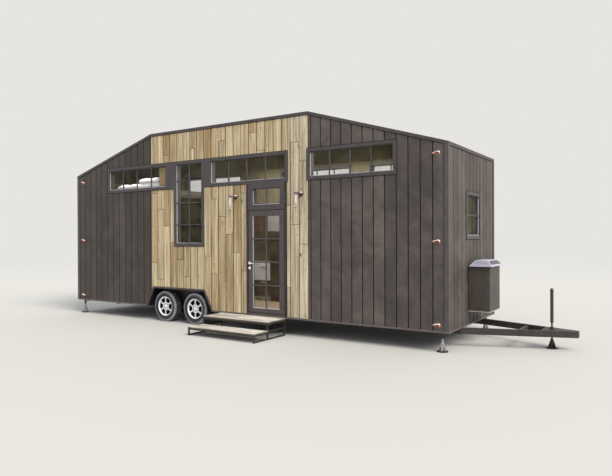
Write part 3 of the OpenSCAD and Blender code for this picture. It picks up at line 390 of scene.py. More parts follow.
def rubber():
    """Dusty rubber: dark by the rim, paler on the sidewall, palest on the shoulder, dark grooves."""
    p = paint("rubber")
    dust = p.noise(11.0, 6.0, 0.65)
    fine = p.noise(240.0, 3.0, 0.6)
    reach = p.attribute("reach") + (dust - 0.5) * 0.12
    base = p.ramp(reach, (0.04, "0f0f11"), (0.22, "232226"), (0.5, "38373b"),
                  (0.66, "4d4c51"), (0.74, "a2a1aa"), (0.96, "97969f"),
                  (1.0, "3d3b3f"))
    base = p.mix(p.attribute("groove"), base, "111012")
    return p.finished(fine + dust * 0.5, 0.25, 0.0012, base_color=base, roughness=0.82 + fine * 0.12)


def weathered_boards():
    """Bleached deck boards: grain along X, grey in the hollows, thin cracks, and dark sides that are
    painted shade.
    """
    p = paint("weathered_boards")
    where = board_place(p)
    grain = p.grain((2.2, 70, 70), 7.0, 0.7, where)
    blot = p.grain((1.5, 8, 8), 4.0, 0.6, where)
    crack = p.level(p.grain((1.3, 42, 42), 5.0, 0.8, where), 0.6, 0.72)
    base = p.ramp(grain * 0.55 + blot * 0.45, (0.36, "6a6157"), (0.46, "a2998d"),
                  (0.55, "cac3b7"), (0.66, "e4dfd6"))
    base = p.mix(p.dice() * 0.3, base, "a59b8e")
    base = p.mix(crack * 0.8, base, "51463a")
    # painted shade: the boards' sides, below their tops, are painted dark
    base = p.mix(p.attribute("edge") * 0.85, base, "332a22")
    return p.finished(grain - crack * 1.5, 0.6, 0.003, base_color=base, roughness=0.8 + grain * 0.12)


def plain_wood(name, pale, dark, scale=(2.0, 30, 30)):
    """Oiled boards seen indoors, with grain along the axis that scale stretches least."""
    p = paint(name)
    grain = p.grain(scale, 6.0, 0.65)
    return p.finished(grain, 0.2, 0.001, base_color=p.ramp(grain, (0.3, dark), (0.7, pale)),
                      roughness=0.5 + grain * 0.2)


def floor_boards():
    """Oiled floor boards with dark joints, and near black beneath the deck as painted shade under the
    house.
    """
    p = paint("floor_boards")
    grain = p.grain((1.6, 26, 26), 6.0, 0.65)
    joint = p.math("FRACT", p.at(1) * 7.2) < 0.03
    base = p.mix(joint, p.ramp(grain, (0.3, "8f7857"), (0.7, "bda889")), "3d2f1f")
    # painted shade: beneath the deck it is painted near black
    return p.finished(grain * 0.3 - joint, 0.3, 0.002, roughness=0.45 + grain * 0.2,
                      base_color=p.mix(p.at(2) < DECK_Z - 0.001, base, "1a1918"))


def wall_core():
    """The framed wall behind the boards: black felt outside, olive-brown panels inside."""
    p = paint("wall_core")
    outside = (abs(p.at(1)) > FACE_Y - 0.004) | (abs(p.at(0)) > FACE_X - 0.004)
    grain = p.grain((26, 26, 2.0), 5.0, 0.6)
    lining = p.ramp(grain, (0.3, "625940"), (0.7, "766c4f"))
    return p.finished(grain, 0.1, 0.001, base_color=p.mix(outside, lining, "141212"),
                      roughness=0.7 + grain * 0.15)


def glazing(name, colour, film, alpha):
    """Window glass: a see-through coat in the given tint with a clear shine and a faint film of dust; the
    windows' olive tint is a painted reflection of trees.
    """
    p = paint(name)
    haze = p.level(p.noise(2.4, 5.0, 0.6, distort=1.2), 0.4, 0.7)
    p.set(base_color=p.mix(haze * 0.7, colour, film), roughness=0.03,
          alpha=haze * 0.07 + alpha, ior=1.5)
    p.owner.surface_render_method = "BLENDED"
    return p.owner


def cotton(name, colour, crease):
    """Bed linen with a plain weave and soft shading in its folds."""
    p = paint(name)
    warp, weft = (p.node("ShaderNodeTexWave", {"bands_direction": way},
                         {"Vector": p.place, "Scale": 260.0}) for way in "XY")
    fold = p.noise(6.0, 4.0, 0.5)
    return p.finished(warp * weft + fold * 0.4, 0.3, 0.0015, roughness=0.9, sheen_weight=0.3,
                      base_color=p.mix(p.level(fold, 0.3, 0.7) * 0.5, colour, crease))


BALL_R, FLANGE_H, RETURN_W, ZINC_Z = 0.055, 0.0125, 0.022, (0.008, 0.035)
WHEEL_Y, WHEEL_APART, TYRE_R = 1.150, 0.428, 0.322
POCKET_TURN, POCKET_R = 0.40, (0.088, 0.177)
DOT_TURN, DOT_R = 0.24, (0.044, 0.070)
RIM_FACE = (0.055, 0.061)

# Each paint's colour, darker tone, roughness, dust, metal, lacquer and patch, as far as they are its own
PAINTS = {
    "trim": ("433c3e", "393335", 0.42, 0.2),
    # arch: the wells' near-black inner sheets are painted shade
    "arch": ("433c3e", "393335", 0.42, 0.2, 0, 0, shaded_well_sheets),
    # jamb: the nearly black outer jambs are a painted shadow
    "jamb": ("433c3e", "393335", 0.42, 0.2, 0, 0, shadowed_jambs),
    "door": ("484041", "3e3738", 0.42, 0.2),
    "bar": ("3b3739", "312e30"),
    # bead: the pale beads on the sides that face the light are a painted highlight
    "bead": ("a9a7b0", "99979f", 0.35, 0.1),
    # corner: the paler narrow faces on the end walls are painted light
    "corner": ("4b4547", "413b3d", 0.42, 0.25, 0, 0, lit_returns),
    "chassis": ("322f2d", "262422", 0.5, 0.28),
    "foot": ("2e2b2a", "232120", 0.45, 0.25, 0, 0, zinc_foot),
    "jack": ("2b2828", "201e1e", 0.35, 0.25, 0, 0.3),
    "rail": ("5d5654", "504948"),
    "roof": ("4a4645", "3c3938", 0.5),
    "step_steel": ("242323", "191818", 0.45, 0.2),
    # box: the paler bottom flange is a painted highlight
    "box": ("46403b", "37322e", 0.5, 0.25, 0, 0, flange_highlight),
    "lid": ("b7b5c6", "a9a7b7", 0.38, 0.1),
    # inset plates on the lid: their darker paint is painted shade, darkest on the end bevel
    "inset": ("94929f", "878592", 0.4, 0.15),
    "dark_inset": ("57545a", "48454a", 0.4, 0.2),
    "bolt": ("232226", "171619", 0.4, 0.15),
    "cupboard": ("f1f1f4", "e6e6ea", 0.35, 0.05),
    "tile": ("aca8a4", "9b9793", 0.2, 0.05, 0, 0.3),
    "bulb": ("f4f2ee", "e6e3de", 0.3, 0.05, 0, 0.3),
    "steel": ("eeebe6", "d6d2cb", 0.25, 0.05, 0.35),
    # lamp_metal: the ball's pale top and dark underside are a painted reflection
    "lamp_metal": ("a08f90", "8a7a7b", 0.16, 0.05, 0.6, 0.6, painted_ball_reflection),
    "chrome": ("efeae6", "cfc8c3", 0.2, 0.1, 0.3),
    "amber": ("9c3a08", "742a06", 0.5, 0.05),
}
FINISH = {name: painted(f"{name}_paint", *values) for name, values in PAINTS.items()} | {
    "charcoal": charcoal_boards("charcoal_boards", ("36302d", "433b38", "504844", "615853")),
    "charcoal_rear": charcoal_boards("charcoal_boards_rear", ("2c2523", "372f2b", "413935", "4f4641")),
    "charcoal_end": charcoal_boards("charcoal_boards_end", ("332d2a", "413935", "4e4540", "5d534d")),
    "oak": oak_boards(),
    "alloy": alloy(),
    "rubber": rubber(),
    "step_wood": weathered_boards(),
    "floor": floor_boards(),
    "loft": plain_wood("loft_board", "c4a67b", "a3835a"),
    "loft_floor": plain_wood("loft_floor_board", "54463a", "3f342a"),
    "veneer": plain_wood("veneer", "4f3320", "332014", scale=(26, 26, 2.0)),
    "wall": wall_core(),
    # glass: the olive tint is a painted reflection of trees
    "glass": glazing("window_glass", "47432e", "837f5e", 0.09),
    "lamp_glass": glazing("lamp_glass", "c9c2b6", "e6e2da", 0.14),
    "linen": cotton("bed_linen", "f4f3f0", "cfcdc8"),
    "ticking": cotton("mattress_ticking", "8a8278", "6f685f"),
}


# Shapes


def placed(name, data):
    """An object with that data, in the scene."""
    obj = bpy.data.objects.new(name, data)
    bpy.context.scene.collection.objects.link(obj)
    return obj


def meshed(name, points, faces, material):
    """A mesh from points in the house's frame and faces, with its material."""
    mesh = bpy.data.meshes.new(name)
    mesh.from_pydata((np.asarray(points, float) + HOUSE).tolist(), [], np.asarray(faces).tolist())
    mesh.materials.append(material)
    return mesh


def piece(name, points, faces, finish, body="house", slot=None, smooth=False, stands_for=(), values=None,
          edges=0.0, segments=2):
    """A new piece that rides on a body.

    Points that lie together are joined, which closes seams and poles, and the faces are turned
    outwards. Where edges gives a width, the sharp edges are rounded by it.
    """
    mesh = meshed(name, points, faces, FINISH[finish])
    mesh.polygons.foreach_set("use_smooth", np.full(len(mesh.polygons), smooth))
    for key, numbers in (values or {}).items():
        mesh.attributes.new(key, "FLOAT", "POINT").data.foreach_set("value", numbers.astype(np.float32))
    bm = bmesh.new()
    bm.from_mesh(mesh)
    bmesh.ops.remove_doubles(bm, verts=bm.verts, dist=1e-7 if edges else 1e-6)
    bmesh.ops.recalc_face_normals(bm, faces=bm.faces)
    bm.to_mesh(mesh)
    bm.free()
    obj = placed(name, mesh)
    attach(obj, body)
    if stands_for:
        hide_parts(*stands_for)
    if edges:
        made = obj.modifiers.new("edges", "BEVEL")
        made.width, made.segments, made.limit_method = edges, segments, "ANGLE"
    return obj


BOX_SIDES = np.array([[0, 2, 3, 1], [4, 5, 7, 6], [0, 1, 5, 4], [2, 6, 7, 3], [0, 4, 6, 2], [1, 3, 7, 5]])


def boxes(lows, highs):
    """Points and faces of many upright boxes, each given by its two corners."""
    lows, highs = np.atleast_2d(lows).astype(float), np.atleast_2d(highs).astype(float)
    pick = np.array([[i, j, k] for k in (0, 1) for j in (0, 1) for i in (0, 1)])
    points = np.where(pick[None], highs[:, None], lows[:, None]).reshape(-1, 3)
    faces = (BOX_SIDES[None] + 8 * np.arange(len(lows))[:, None, None]).reshape(-1, 4)
    return points, faces


def grid_faces(rows, columns, wrap_rows=False, wrap_columns=False):
    """Quads between neighbouring points of a grid numbered row by row."""
    r = np.arange(rows if wrap_rows else rows - 1)
    c = np.arange(columns if wrap_columns else columns - 1)
    r, c = np.meshgrid(r, c, indexing="ij")
    r1, c1 = (r + 1) % rows, (c + 1) % columns
    return np.stack([r * columns + c, r * columns + c1, r1 * columns + c1, r1 * columns + c],
                    -1).reshape(-1, 4)


def turned(profile, count):
    """A surface of revolution about Z: each (radius, height) of the profile is carried round a circle."""
    profile = np.asarray(profile, float)
    a = np.arange(count) * TAU / count
    points = np.stack([profile[:, None, 0] * np.cos(a), profile[:, None, 0] * np.sin(a),
                       np.repeat(profile[:, None, 1], count, 1)], -1)
    return points.reshape(-1, 3), grid_faces(len(profile), count, wrap_columns=True)


def joined(parts):
    """Points and faces of several parts as one."""
    starts = np.cumsum([0] + [len(points) for points, _ in parts])
    return (np.concatenate([points for points, _ in parts]),
            np.concatenate([np.asarray(faces) + start for (_, faces), start in zip(parts, starts)]))


def shrunk(window, by=FRAME_FACE):
    """A (low, high, foot, top) rectangle made smaller on every side."""
    a, b, c, d = window
    return a + by, b - by, c + by, d - by


# Boards

CHAMFER, RECESS = 0.005, 0.006
BUTT_GAP, SHADOW_GAP = 0.008, 0.009
BEYOND = 9.0


def cladding(name, edges, openings, joints, place, low, high, finish, slot, seed, groove):
    """Upright boards side by side, cut to fit, as one mesh.

    The wall is a grid of upright lines u (board edges, their chamfers, sides of openings) and level
    lines z (tops and bottoms of openings, butt joints), held between low(u) and high(u). A cell is
    solid where it lies in a board and in no opening or joint. Solid cells have a front face, and a
    side face towards each neighbour that isn't solid. joints holds (board, height) pairs, and seed
    sets one wall's boards apart from another's. Boards stop a shadow gap short of the openings.
    """
    half = groove / 2
    openings = [shrunk(opening, -SHADOW_GAP) for opening in openings]

    def board_at(u):
        return np.clip(np.searchsorted(edges, u) - 1, 0, len(edges) - 2)

    u = np.concatenate([edges[:-1] + half, edges[:-1] + half + CHAMFER, edges[1:] - half - CHAMFER,
                        edges[1:] - half, [v for o in openings for v in o[:2]], low.u, high.u])
    u = np.unique(np.round(u[(u >= edges[0] + half - 1e-9) & (u <= edges[-1] - half + 1e-9)], 5))
    z = [v for o in openings for v in o[2:]] + [v for _, h in joints for v in (h, h + BUTT_GAP)]
    z = np.unique(np.round(np.array([0.0, BEYOND] + z), 5))
    zz = np.clip(z[None, :], low(u)[:, None], high(u)[:, None])
    mid_u, mid_z = (u[:-1] + u[1:]) / 2, (z[:-1] + z[1:]) / 2
    owner = board_at(mid_u)
    in_board = (mid_u > edges[owner] + half) & (mid_u < edges[owner + 1] - half)
    solid = in_board[:, None] & (zz[:-1, 1:] + zz[1:, 1:] - zz[:-1, :-1] - zz[1:, :-1] > 1e-5)
    for a, b, c, d in openings:
        solid &= ~(((mid_u > a) & (mid_u < b))[:, None] & ((mid_z > c) & (mid_z < d))[None])
    for b, h in joints:
        solid &= ~((owner == b)[:, None] & ((mid_z > h) & (mid_z < h + BUTT_GAP))[None])
    nu, nz = len(u), len(z)
    near_edge = np.abs(u[:, None] - np.concatenate([edges + half, edges - half])[None]).min(1) < 1e-4
    number = np.arange(nu * nz).reshape(nu, nz)
    back = number + nu * nz
    points = np.concatenate([np.stack([np.repeat(u, nz), np.repeat(depth, nz), zz.ravel()], -1)
                             for depth in (CLAD - RECESS * near_edge, np.zeros(nu))])
    quads = [np.stack([number[:-1, :-1], number[1:, :-1], number[1:, 1:], number[:-1, 1:]], -1)[solid]]
    ringed = np.pad(solid, 1)
    for du, dz, a, b in ((-1, 0, (0, 0), (0, 1)), (1, 0, (1, 1), (1, 0)), (0, -1, (1, 0), (0, 0)),
                         (0, 1, (0, 1), (1, 1))):
        i, j = np.nonzero(solid & ~ringed[1 + du:nu + du, 1 + dz:nz + dz])
        quads.append(np.stack([number[i + a[0], j + a[1]], number[i + b[0], j + b[1]],
                               back[i + b[0], j + b[1]], back[i + a[0], j + a[1]]], -1))
    quads = np.concatenate(quads)
    owner_of_line = board_at(u + 1e-6)
    below = np.zeros((nu, nz))
    for b, h in joints:
        below += (owner_of_line == b)[:, None] * (z[None, :] > h + BUTT_GAP / 2)
    board = np.tile((owner_of_line[:, None] + below * 0.37 + seed).ravel(), 2)
    edge = np.tile(np.repeat(near_edge, nz), 2)
    used, quads = np.unique(quads, return_inverse=True)
    points, quads = points[used], quads.reshape(-1, 4)
    sides = np.linalg.norm(points[quads] - points[np.roll(quads, -1, 1)], axis=2)
    piece(name, place(points), quads[(sides > 1e-6).sum(1) >= 3], finish, slot=slot,
          values={"board": board[used], "edge": edge[used]})


class Outline:
    """A line given by its (u, z) corners, as a function of u."""

    def __init__(self, corners):
        self.u, self.z = np.array(corners, float).T

    def __call__(self, u):
        return np.interp(u, self.u, self.z)


LEAN = (ARCH_HALF0 - ARCH_HALF1) / (ARCH_Z - BODY_Z)
SLANT = math.sqrt(1 + LEAN * LEAN)


def arch_corners(grow):
    """The wheel arch's outline as (x, z) corners, left to right, grown outwards."""
    at_deck = ARCH_HALF0 - LEAN * (DECK_Z - BODY_Z) + grow * SLANT
    top = ARCH_HALF1 + grow * SLANT - grow * LEAN
    return [(ARCH_X - at_deck, DECK_Z), (ARCH_X - top, ARCH_Z + grow), (ARCH_X + top, ARCH_Z + grow),
            (ARCH_X + at_deck, DECK_Z)]


SIDE_LOW = Outline([(-BEYOND, DECK_Z), *arch_corners(ARCH_FACE), (BEYOND, DECK_Z)])
ROOF_LOW = Outline([(x, float(roof_z(x)) - SKIN - SHADOW_GAP)
                    for x in (-HALF_L, -FLAT_HALF, FLAT_HALF, HALF_L)])
END_LOW = Outline([(x, DECK_Z) for x in (-BEYOND, BEYOND)])
END_HIGH = Outline([(x, EAVES_Z - SKIN - SHADOW_GAP) for x in (-BEYOND, BEYOND)])


def on_side(sign):
    """Carries (u, depth, z) on to a long wall: the door's for -1, the far one for 1."""
    return lambda p: np.stack([p[:, 0], sign * (FACE_Y + p[:, 1]), p[:, 2]], -1)


def on_end(sign):
    """Carries (u, depth, z) on to an end wall: the drawbar's for 1, the other for -1."""
    return lambda p: np.stack([sign * (FACE_X + p[:, 1]), p[:, 0], p[:, 2]], -1)


OAK_BOARDS, END_BOARDS = 21, 12
DARK_PITCH, FIRST_REAR, FIRST_FRONT = 0.2025, 0.034, 0.053
NARROWEST, GOLDEN = 0.05, 0.382
JOINT_FOOT, JOINT_SPAN = 0.85, 2.95
GROOVE_OAK, GROOVE_DARK, GROOVE_END = 0.010, 0.013, 0.020


def build_cladding():
    """All boards: dark at both ends of the long walls and on the end walls, oak in the middle.

    Butt joints lie at heights that step by the golden share from board to board.
    """
    run = HALF_L - CORNER_W
    steps = DARK_PITCH * np.arange(12)
    rear = -FLAT_HALF - FIRST_REAR - steps[::-1]
    rear = np.concatenate([[-run], rear[rear > -run + NARROWEST], [-FLAT_HALF]])
    front = FLAT_HALF + FIRST_FRONT + steps
    front = np.concatenate([[FLAT_HALF], front[front < run - NARROWEST], [run]])
    oak = np.linspace(-FLAT_HALF, FLAT_HALF, OAK_BOARDS + 1)
    joints = [(b, round(JOINT_FOOT + JOINT_SPAN * ((b * GOLDEN + part) % 1), 4))
              for b in range(OAK_BOARDS) for part in (0.13, 0.63)]
    for side, (sign, windows, panels, doors) in SIDES.items():
        for part, edges, finish, slot, cuts, groove in (
                ("rear", rear, "charcoal_rear", "dark_boards", [], GROOVE_DARK),
                ("oak", oak, "oak", "oak_boards", joints, GROOVE_OAK),
                ("front", front, "charcoal", "dark_boards", [], GROOVE_DARK)):
            cladding(f"{side}_boards_{part}", edges, windows + panels + doors, cuts, on_side(sign),
                     SIDE_LOW, ROOF_LOW, finish, slot, 10 * sign + 40, groove)
    across = np.linspace(-HALF_W + CORNER_W, HALF_W - CORNER_W, END_BOARDS + 1)
    for end, sign in (("front", 1), ("rear", -1)):
        cladding(f"end_boards_{end}", across, [END_WINDOW], [], on_end(sign), END_LOW, END_HIGH,
                 "charcoal_end", "dark_boards", 90 + 15 * sign, GROOVE_END)


# Glazing

BAR, BAR_DEPTH = 0.024, 0.018
BEAD, BEAD_DEPTH = 0.013, 0.015
GLASS_DEPTH = PROUD - GLASS_RECESS


def bars(rect, uprights, levels):
    """Glazing bars in front of a pane as (u, depth, z) boxes: uprights and levels as shares."""
    a, b, c, d = rect
    lows = [[a + (b - a) * s - BAR / 2, 0, c] for s in uprights]
    highs = [[a + (b - a) * s + BAR / 2, BAR_DEPTH, d] for s in uprights]
    lows += [[a, 0, c + (d - c) * s - BAR / 2] for s in levels]
    highs += [[b, BAR_DEPTH - 0.002, c + (d - c) * s + BAR / 2] for s in levels]
    return boxes(lows, highs)


def beads(rect, bright=0):
    """A thin glazing bead round a pane: first its two lit boxes, then its two dark ones.

    The lit ones, the foot and the upright at the low end (0) or the high end (1), are painted pale as a
    painted highlight.
    """
    a, b, c, d = rect
    lows = np.array([[a, 0, c], [b - BEAD, 0, c], [a + BEAD, 0, c], [a + BEAD, 0, d - BEAD]])
    highs = np.array([[a + BEAD, BEAD_DEPTH, d], [b, BEAD_DEPTH, d], [b - BEAD, BEAD_DEPTH, c + BEAD],
                      [b - BEAD, BEAD_DEPTH, d]])
    return [boxes(lows[pick], highs[pick]) for pick in ([bright, 2], [1 - bright, 3])]


QUARTERS = (0.25, 0.5, 0.75)
DIVISIONS = {STRIP_REAR: (QUARTERS, ()), TALL: ((0.5,), (0.235, 0.51, 0.79)), STRIP_MID: (QUARTERS, ()),
             STRIP_FRONT: (QUARTERS, ()), END_WINDOW: ((0.5,), (0.5,))}


def build_glazing():
    """Glazing bars and beads of all fixed windows."""
    walls = [(windows, on_side(sign), 0) for sign, windows, _, _ in SIDES.values()]
    walls += [([END_WINDOW], on_end(sign), 1) for sign in (1, -1)]
    made = {"bar": [], "bead": []}
    for windows, place, bright in walls:
        for window in windows:
            rect = shrunk(window)
            # the beads on the lit sides take the pale paint, a painted highlight
            lit_beads, dark_beads = beads(rect, bright)
            for kind, (points, faces) in (("bar", bars(rect, *DIVISIONS[window])), ("bar", dark_beads),
                                          ("bead", lit_beads)):
                made[kind].append((place(points + [0, CLAD + GLASS_DEPTH, 0]), faces))
    for kind, parts in made.items():
        piece(f"glazing_{kind}s", *joined(parts), kind, slot="trim_metal", edges=0.002, segments=1)


ROSE_R, ROSE_T, LOCK_DROP, LEVER_NECK_R = 0.027, 0.009, 0.092, 0.011
CORE_W, CORE_H, CORE_OUT = 0.005, 0.016, 0.013


def build_door():
    """Glazing bars and beads of the door leaf and of the fixed light over it, and the lock's plates."""
    lo, hi = house_box("door_glass")
    pane = (lo[0], hi[0], lo[2], hi[2])
    light = (DOOR[0] + JAMB + STILE, DOOR[1] - JAMB - STILE, *LIGHT_Z)
    for name, rect, face, levels, body in (
            ("door", pane, -lo[1], QUARTERS, "door"),
            ("fixed_light", light, HALF_W + GLASS_DEPTH, (), "house")):
        # the beads on the lit sides take the pale paint, a painted highlight
        lit_beads, dark_beads = beads(rect)
        for kind, finish, (points, faces) in (
                ("bar", "door", joined([bars(rect, (0.5,), levels), dark_beads])), ("bead", "bead", lit_beads)):
            piece(f"{name}_{kind}s", np.stack([points[:, 0], -(face + points[:, 1]), points[:, 2]], -1),
                  faces, finish, body=body, slot="trim_metal", edges=0.002, segments=1)
    lo, hi = house_box("door_lever")
    leaf = house_box("door_leaf")[0][1]
    rose = [(0, 0.001), (ROSE_R, 0.001), (ROSE_R, 0.003 - ROSE_T), (ROSE_R - 0.003, -ROSE_T), (0, -ROSE_T)]
    points, faces = turned(rose, 32)
    points = points[:, [0, 2, 1]]
    x, z = lo[0] + LEVER_NECK_R, (lo[2] + hi[2]) / 2
    plates = [(points + [x, leaf, z - down], faces) for down in (0, LOCK_DROP)]
    core = boxes([[x - CORE_W, leaf - CORE_OUT, z - LOCK_DROP - CORE_H]],
                 [[x + CORE_W, leaf - 0.008, z - LOCK_DROP + CORE_H]])
    piece("lock_plates", *joined([*plates, core]), "steel", body="door", slot="lever_metal")


# Wheels, feet and box

TYRE_W = 0.190
LUGS, LUG_GAP, MIDDLE_GAP = 46, 0.36, 0.26
GROOVE, CROWN, TREAD_IN = 0.011, 0.0015, 0.036
BEAD_R = 0.1985
# The sidewall's points from bead to tread: radius, and inset from the tyre's side, in millimetres
SIDEWALL = [(198.5, 24), (207.5, 16), (210, 9), (215, 6), (222, 4.5), (226, 1.5), (236, 0.5), (246, 0),
            (256, -0.5), (262, 2), (274, 2), (284, 3.5), (292, 3.5), (298, 5), (306, 9), (313, 15),
            (318, 22), (320.5, 30)]
CORNERS = [f"{side}_{end}" for side in ("near", "far") for end in ("front", "rear")]


def tyre_surface():
    """A tyre about the Y axis, its outer side at -Y: a cross-section carried round, with tread blocks.

    The cross-section runs from bead to bead over the tread and back inside. Over the tread and
    shoulders the radius drops by the groove depth where a wave round the wheel, slanted across it,
    is low, and along three rings. Each point also gets its reach, 0 at the bead and 1 at the tread,
    and whether it lies in a groove.
    """
    w = TYRE_W / 2
    n = LUGS * 8
    side = np.array(SIDEWALL) / 1000 - [0, w]
    across = np.linspace(-w + TREAD_IN, w - TREAD_IN, 22)
    crown = TYRE_R - CROWN * (across / w) ** 2
    profile = np.concatenate([side, np.stack([crown, across], -1), side[::-1] * [1, -1]])
    r, y = profile[:, 0][:, None], profile[:, 1][:, None]
    a = np.arange(n)[None] * TAU / n
    phase = a * LUGS / TAU
    shoulder = np.abs(y) > w * 0.46
    lug = (phase + 0.5 * (y > 0) + np.abs(y) / w * 0.35) % 1
    middle = (phase + 0.25 + y / w * 0.8) % 1
    low = np.where(shoulder, lug < LUG_GAP, middle < MIDDLE_GAP)
    ring = (np.abs(np.abs(y) - w * 0.42) < 0.0042) | (np.abs(y) < 0.003)
    cut = np.where(low | ring, 1.0, 0.0) * np.clip((r - 0.283) / 0.004, 0, 1)
    rr = r - GROOVE * cut * np.clip((r - 0.26) / 0.05, 0, 1)
    yy = y - np.sign(y) * 0.0045 * cut * (np.abs(y) > w * 0.8)
    points = np.stack([rr * np.cos(a), np.broadcast_to(yy, rr.shape), rr * np.sin(a)], -1).reshape(-1, 3)
    reach = np.broadcast_to((r - BEAD_R) / (TYRE_R - BEAD_R), rr.shape).ravel()
    return points, grid_faces(len(profile), n, True, True), {"reach": reach, "groove": cut.ravel()}


def build_tyres():
    points, faces, values = tyre_surface()
    for corner in CORNERS:
        lo, hi = house_box(f"tyre_{corner}")
        out = 1 if corner in CORNERS[:2] else -1
        piece(f"tread_{corner}", points * [1, out, 1] + [(lo[0] + hi[0]) / 2, (lo[1] + hi[1]) / 2, TYRE_R],
              faces, "rubber", body=f"wheel_{corner}", slot="tyre_rubber", stands_for=(f"tyre_{corner}",),
              values=values)


BOLT_Z, BOLT_CIRCLE = 0.010, 0.075


def build_foot_bolts():
    """Six hexagon bolts, each on a washer, between the gussets of every foot's base."""
    points, faces = turned([(0, 0.0005), (0.012, 0.0005), (0.012, 0.003), (0.009, 0.003), (0.009, 0.010),
                            (0.0075, 0.012), (0, 0.012)], 6)
    for node, body in (("tongue_jack", "tongue_jack_leg"),
                       *((f"corner_jack_{corner}", f"corner_leg_{corner}") for corner in CORNERS)):
        x, y, _ = sum(house_box(node)) / 2
        parts = [(points + [x + BOLT_CIRCLE * math.cos(a), y + BOLT_CIRCLE * math.sin(a), BOLT_Z], faces)
                 for a in np.arange(6) * TAU / 6]
        piece(f"{node}_bolts", *joined(parts), "bolt", body=body, slot="chassis_steel")


LID_BEVEL, LID_RISE, LID_RIM = 0.080, 0.084, 0.018
LID_OVER, LID_START, LID_OFF = 0.035, 0.024, 0.010
BOX_FLANGE = 0.006
INSET, INSET_T = 0.016, 0.002


def build_lid_insets():
    """Flat plates within the raised frames on three of the lid's bevels, painted darker than the lid as
    painted shade in the recesses, darkest on the end bevel.

    A plate's corner is the bevel's foot plus a step along it and one up its slope; its two layers
    lie either side of the bevel along its normal.
    """
    lo, hi = house_box("storage_box")
    x0, x1 = lo[0] + LID_START + (FACE_X + CLAD + LID_OFF - lo[0]), hi[0] - BOX_FLANGE + LID_OVER
    y1 = hi[1] - BOX_FLANGE + LID_OVER
    z = house_box("storage_lid")[0][2] + LID_RIM
    slope = math.hypot(LID_BEVEL, LID_RISE)
    for name, foot, out, half, finish in (
            ("end", (x1, 0, z), (1, 0, 0), y1, "dark_inset"),
            ("near", ((x0 + x1) / 2, -y1, z), (0, -1, 0), (x1 - x0) / 2, "inset"),
            ("far", ((x0 + x1) / 2, y1, z), (0, 1, 0), (x1 - x0) / 2, "inset")):
        out = np.array(out, float)
        along = np.cross([0, 0, 1], out)
        up = (LID_RISE * np.array([0, 0, 1.0]) - LID_BEVEL * out) / slope
        normal = np.cross(along, up)
        v = np.array([INSET, INSET, slope - INSET, slope - INSET])
        u = np.array([-1, 1, 1, -1]) * (half - LID_BEVEL * v / slope - INSET)
        quad = np.array(foot) + u[:, None] * along + v[:, None] * up
        points = np.concatenate([quad - INSET_T / 2 * normal, quad + INSET_T / 2 * normal])
        faces = [[3, 2, 1, 0], [4, 5, 6, 7], [0, 1, 5, 4], [1, 2, 6, 5], [2, 3, 7, 6], [3, 0, 4, 7]]
        piece(f"lid_inset_{name}", points, faces, finish, body="box_lid", slot="lid_metal")


# Lamps

MARKER_TIP, MARKER_R, MARKER_FLAT = 0.100, 0.032, 0.8
LENS_TIP, LENS_R, LENS_FLAT = MARKER_TIP * 0.80, MARKER_R * 0.74, 0.9
LENS_SHIFT = (0.003, 0.011, -0.004)
DROP_BLUNT = 0.62
MARKER_X = HALF_L - 0.156
MARKER_ZS = (DECK_Z + 0.083, DECK_Z + 1.370, EAVES_Z - 0.169)
BULB_R, BULB_L, BULB_TOP = 0.013, 0.120, 0.02


def drop(tip, r, flat):
    """A drop lying along X with its tip at -tip and a round end of radius r.

    Its radius grows as s ** DROP_BLUNT from tip to end, and it is flattened along Y by the share flat.
    """
    a = np.radians(np.arange(0, 91, 10))
    body = np.stack([np.linspace(0, 1, 8) ** DROP_BLUNT * r, np.linspace(-tip, 0, 8)], -1)[:-1]
    points, faces = turned(np.concatenate([body, np.stack([np.cos(a), np.sin(a)], -1) * r]), 32)
    return points[:, [2, 0, 1]] * [1, flat, 1], faces


def build_marker_lamps():
    """A bright bezel over each marker lamp's housing, and an amber lens a little low in its front."""
    for name, (points, faces), (dx, dy, dz), finish in (
            ("marker_bezels", drop(MARKER_TIP, MARKER_R, MARKER_FLAT), (0, 0, 0), "chrome"),
            ("marker_lenses", drop(LENS_TIP, LENS_R, LENS_FLAT), LENS_SHIFT, "amber")):
        parts = [((points + [dx, 0, dz]) * [sx, 1, 1] + [sx * MARKER_X, sy * (HALF_W + dy), z], faces)
                 for sx in (-1, 1) for sy in (-1, 1) for z in MARKER_ZS]
        piece(name, *joined(parts), finish, slot="lamp_metal", smooth=True)


def build_bulbs():
    """A frosted bulb inside each wall lamp's glass."""
    lo, hi = house_box("wall_lamp_glass")
    y, middle = (lo[1] + hi[1]) / 2, (lo[0] + hi[0]) / 2
    half = (hi[0] - lo[0]) / 2 - (hi[1] - lo[1]) / 2
    a = np.radians(np.arange(-90, 91, 15))
    points, faces = turned(
        np.stack([np.cos(a) * BULB_R, np.sin(a) * BULB_R + np.sign(a) * BULB_L / 2], -1), 20)
    z = hi[2] - BULB_TOP - BULB_L / 2 - BULB_R
    parts = [(points + [middle + side * half, y, z], faces) for side in (-1, 1)]
    piece("lamp_bulbs", *joined(parts), "bulb", slot="lamp_glass", smooth=True)


# Steps

STEP_BOARDS, STEP_GAP, STEP_CUTS = 4, 0.006, 41


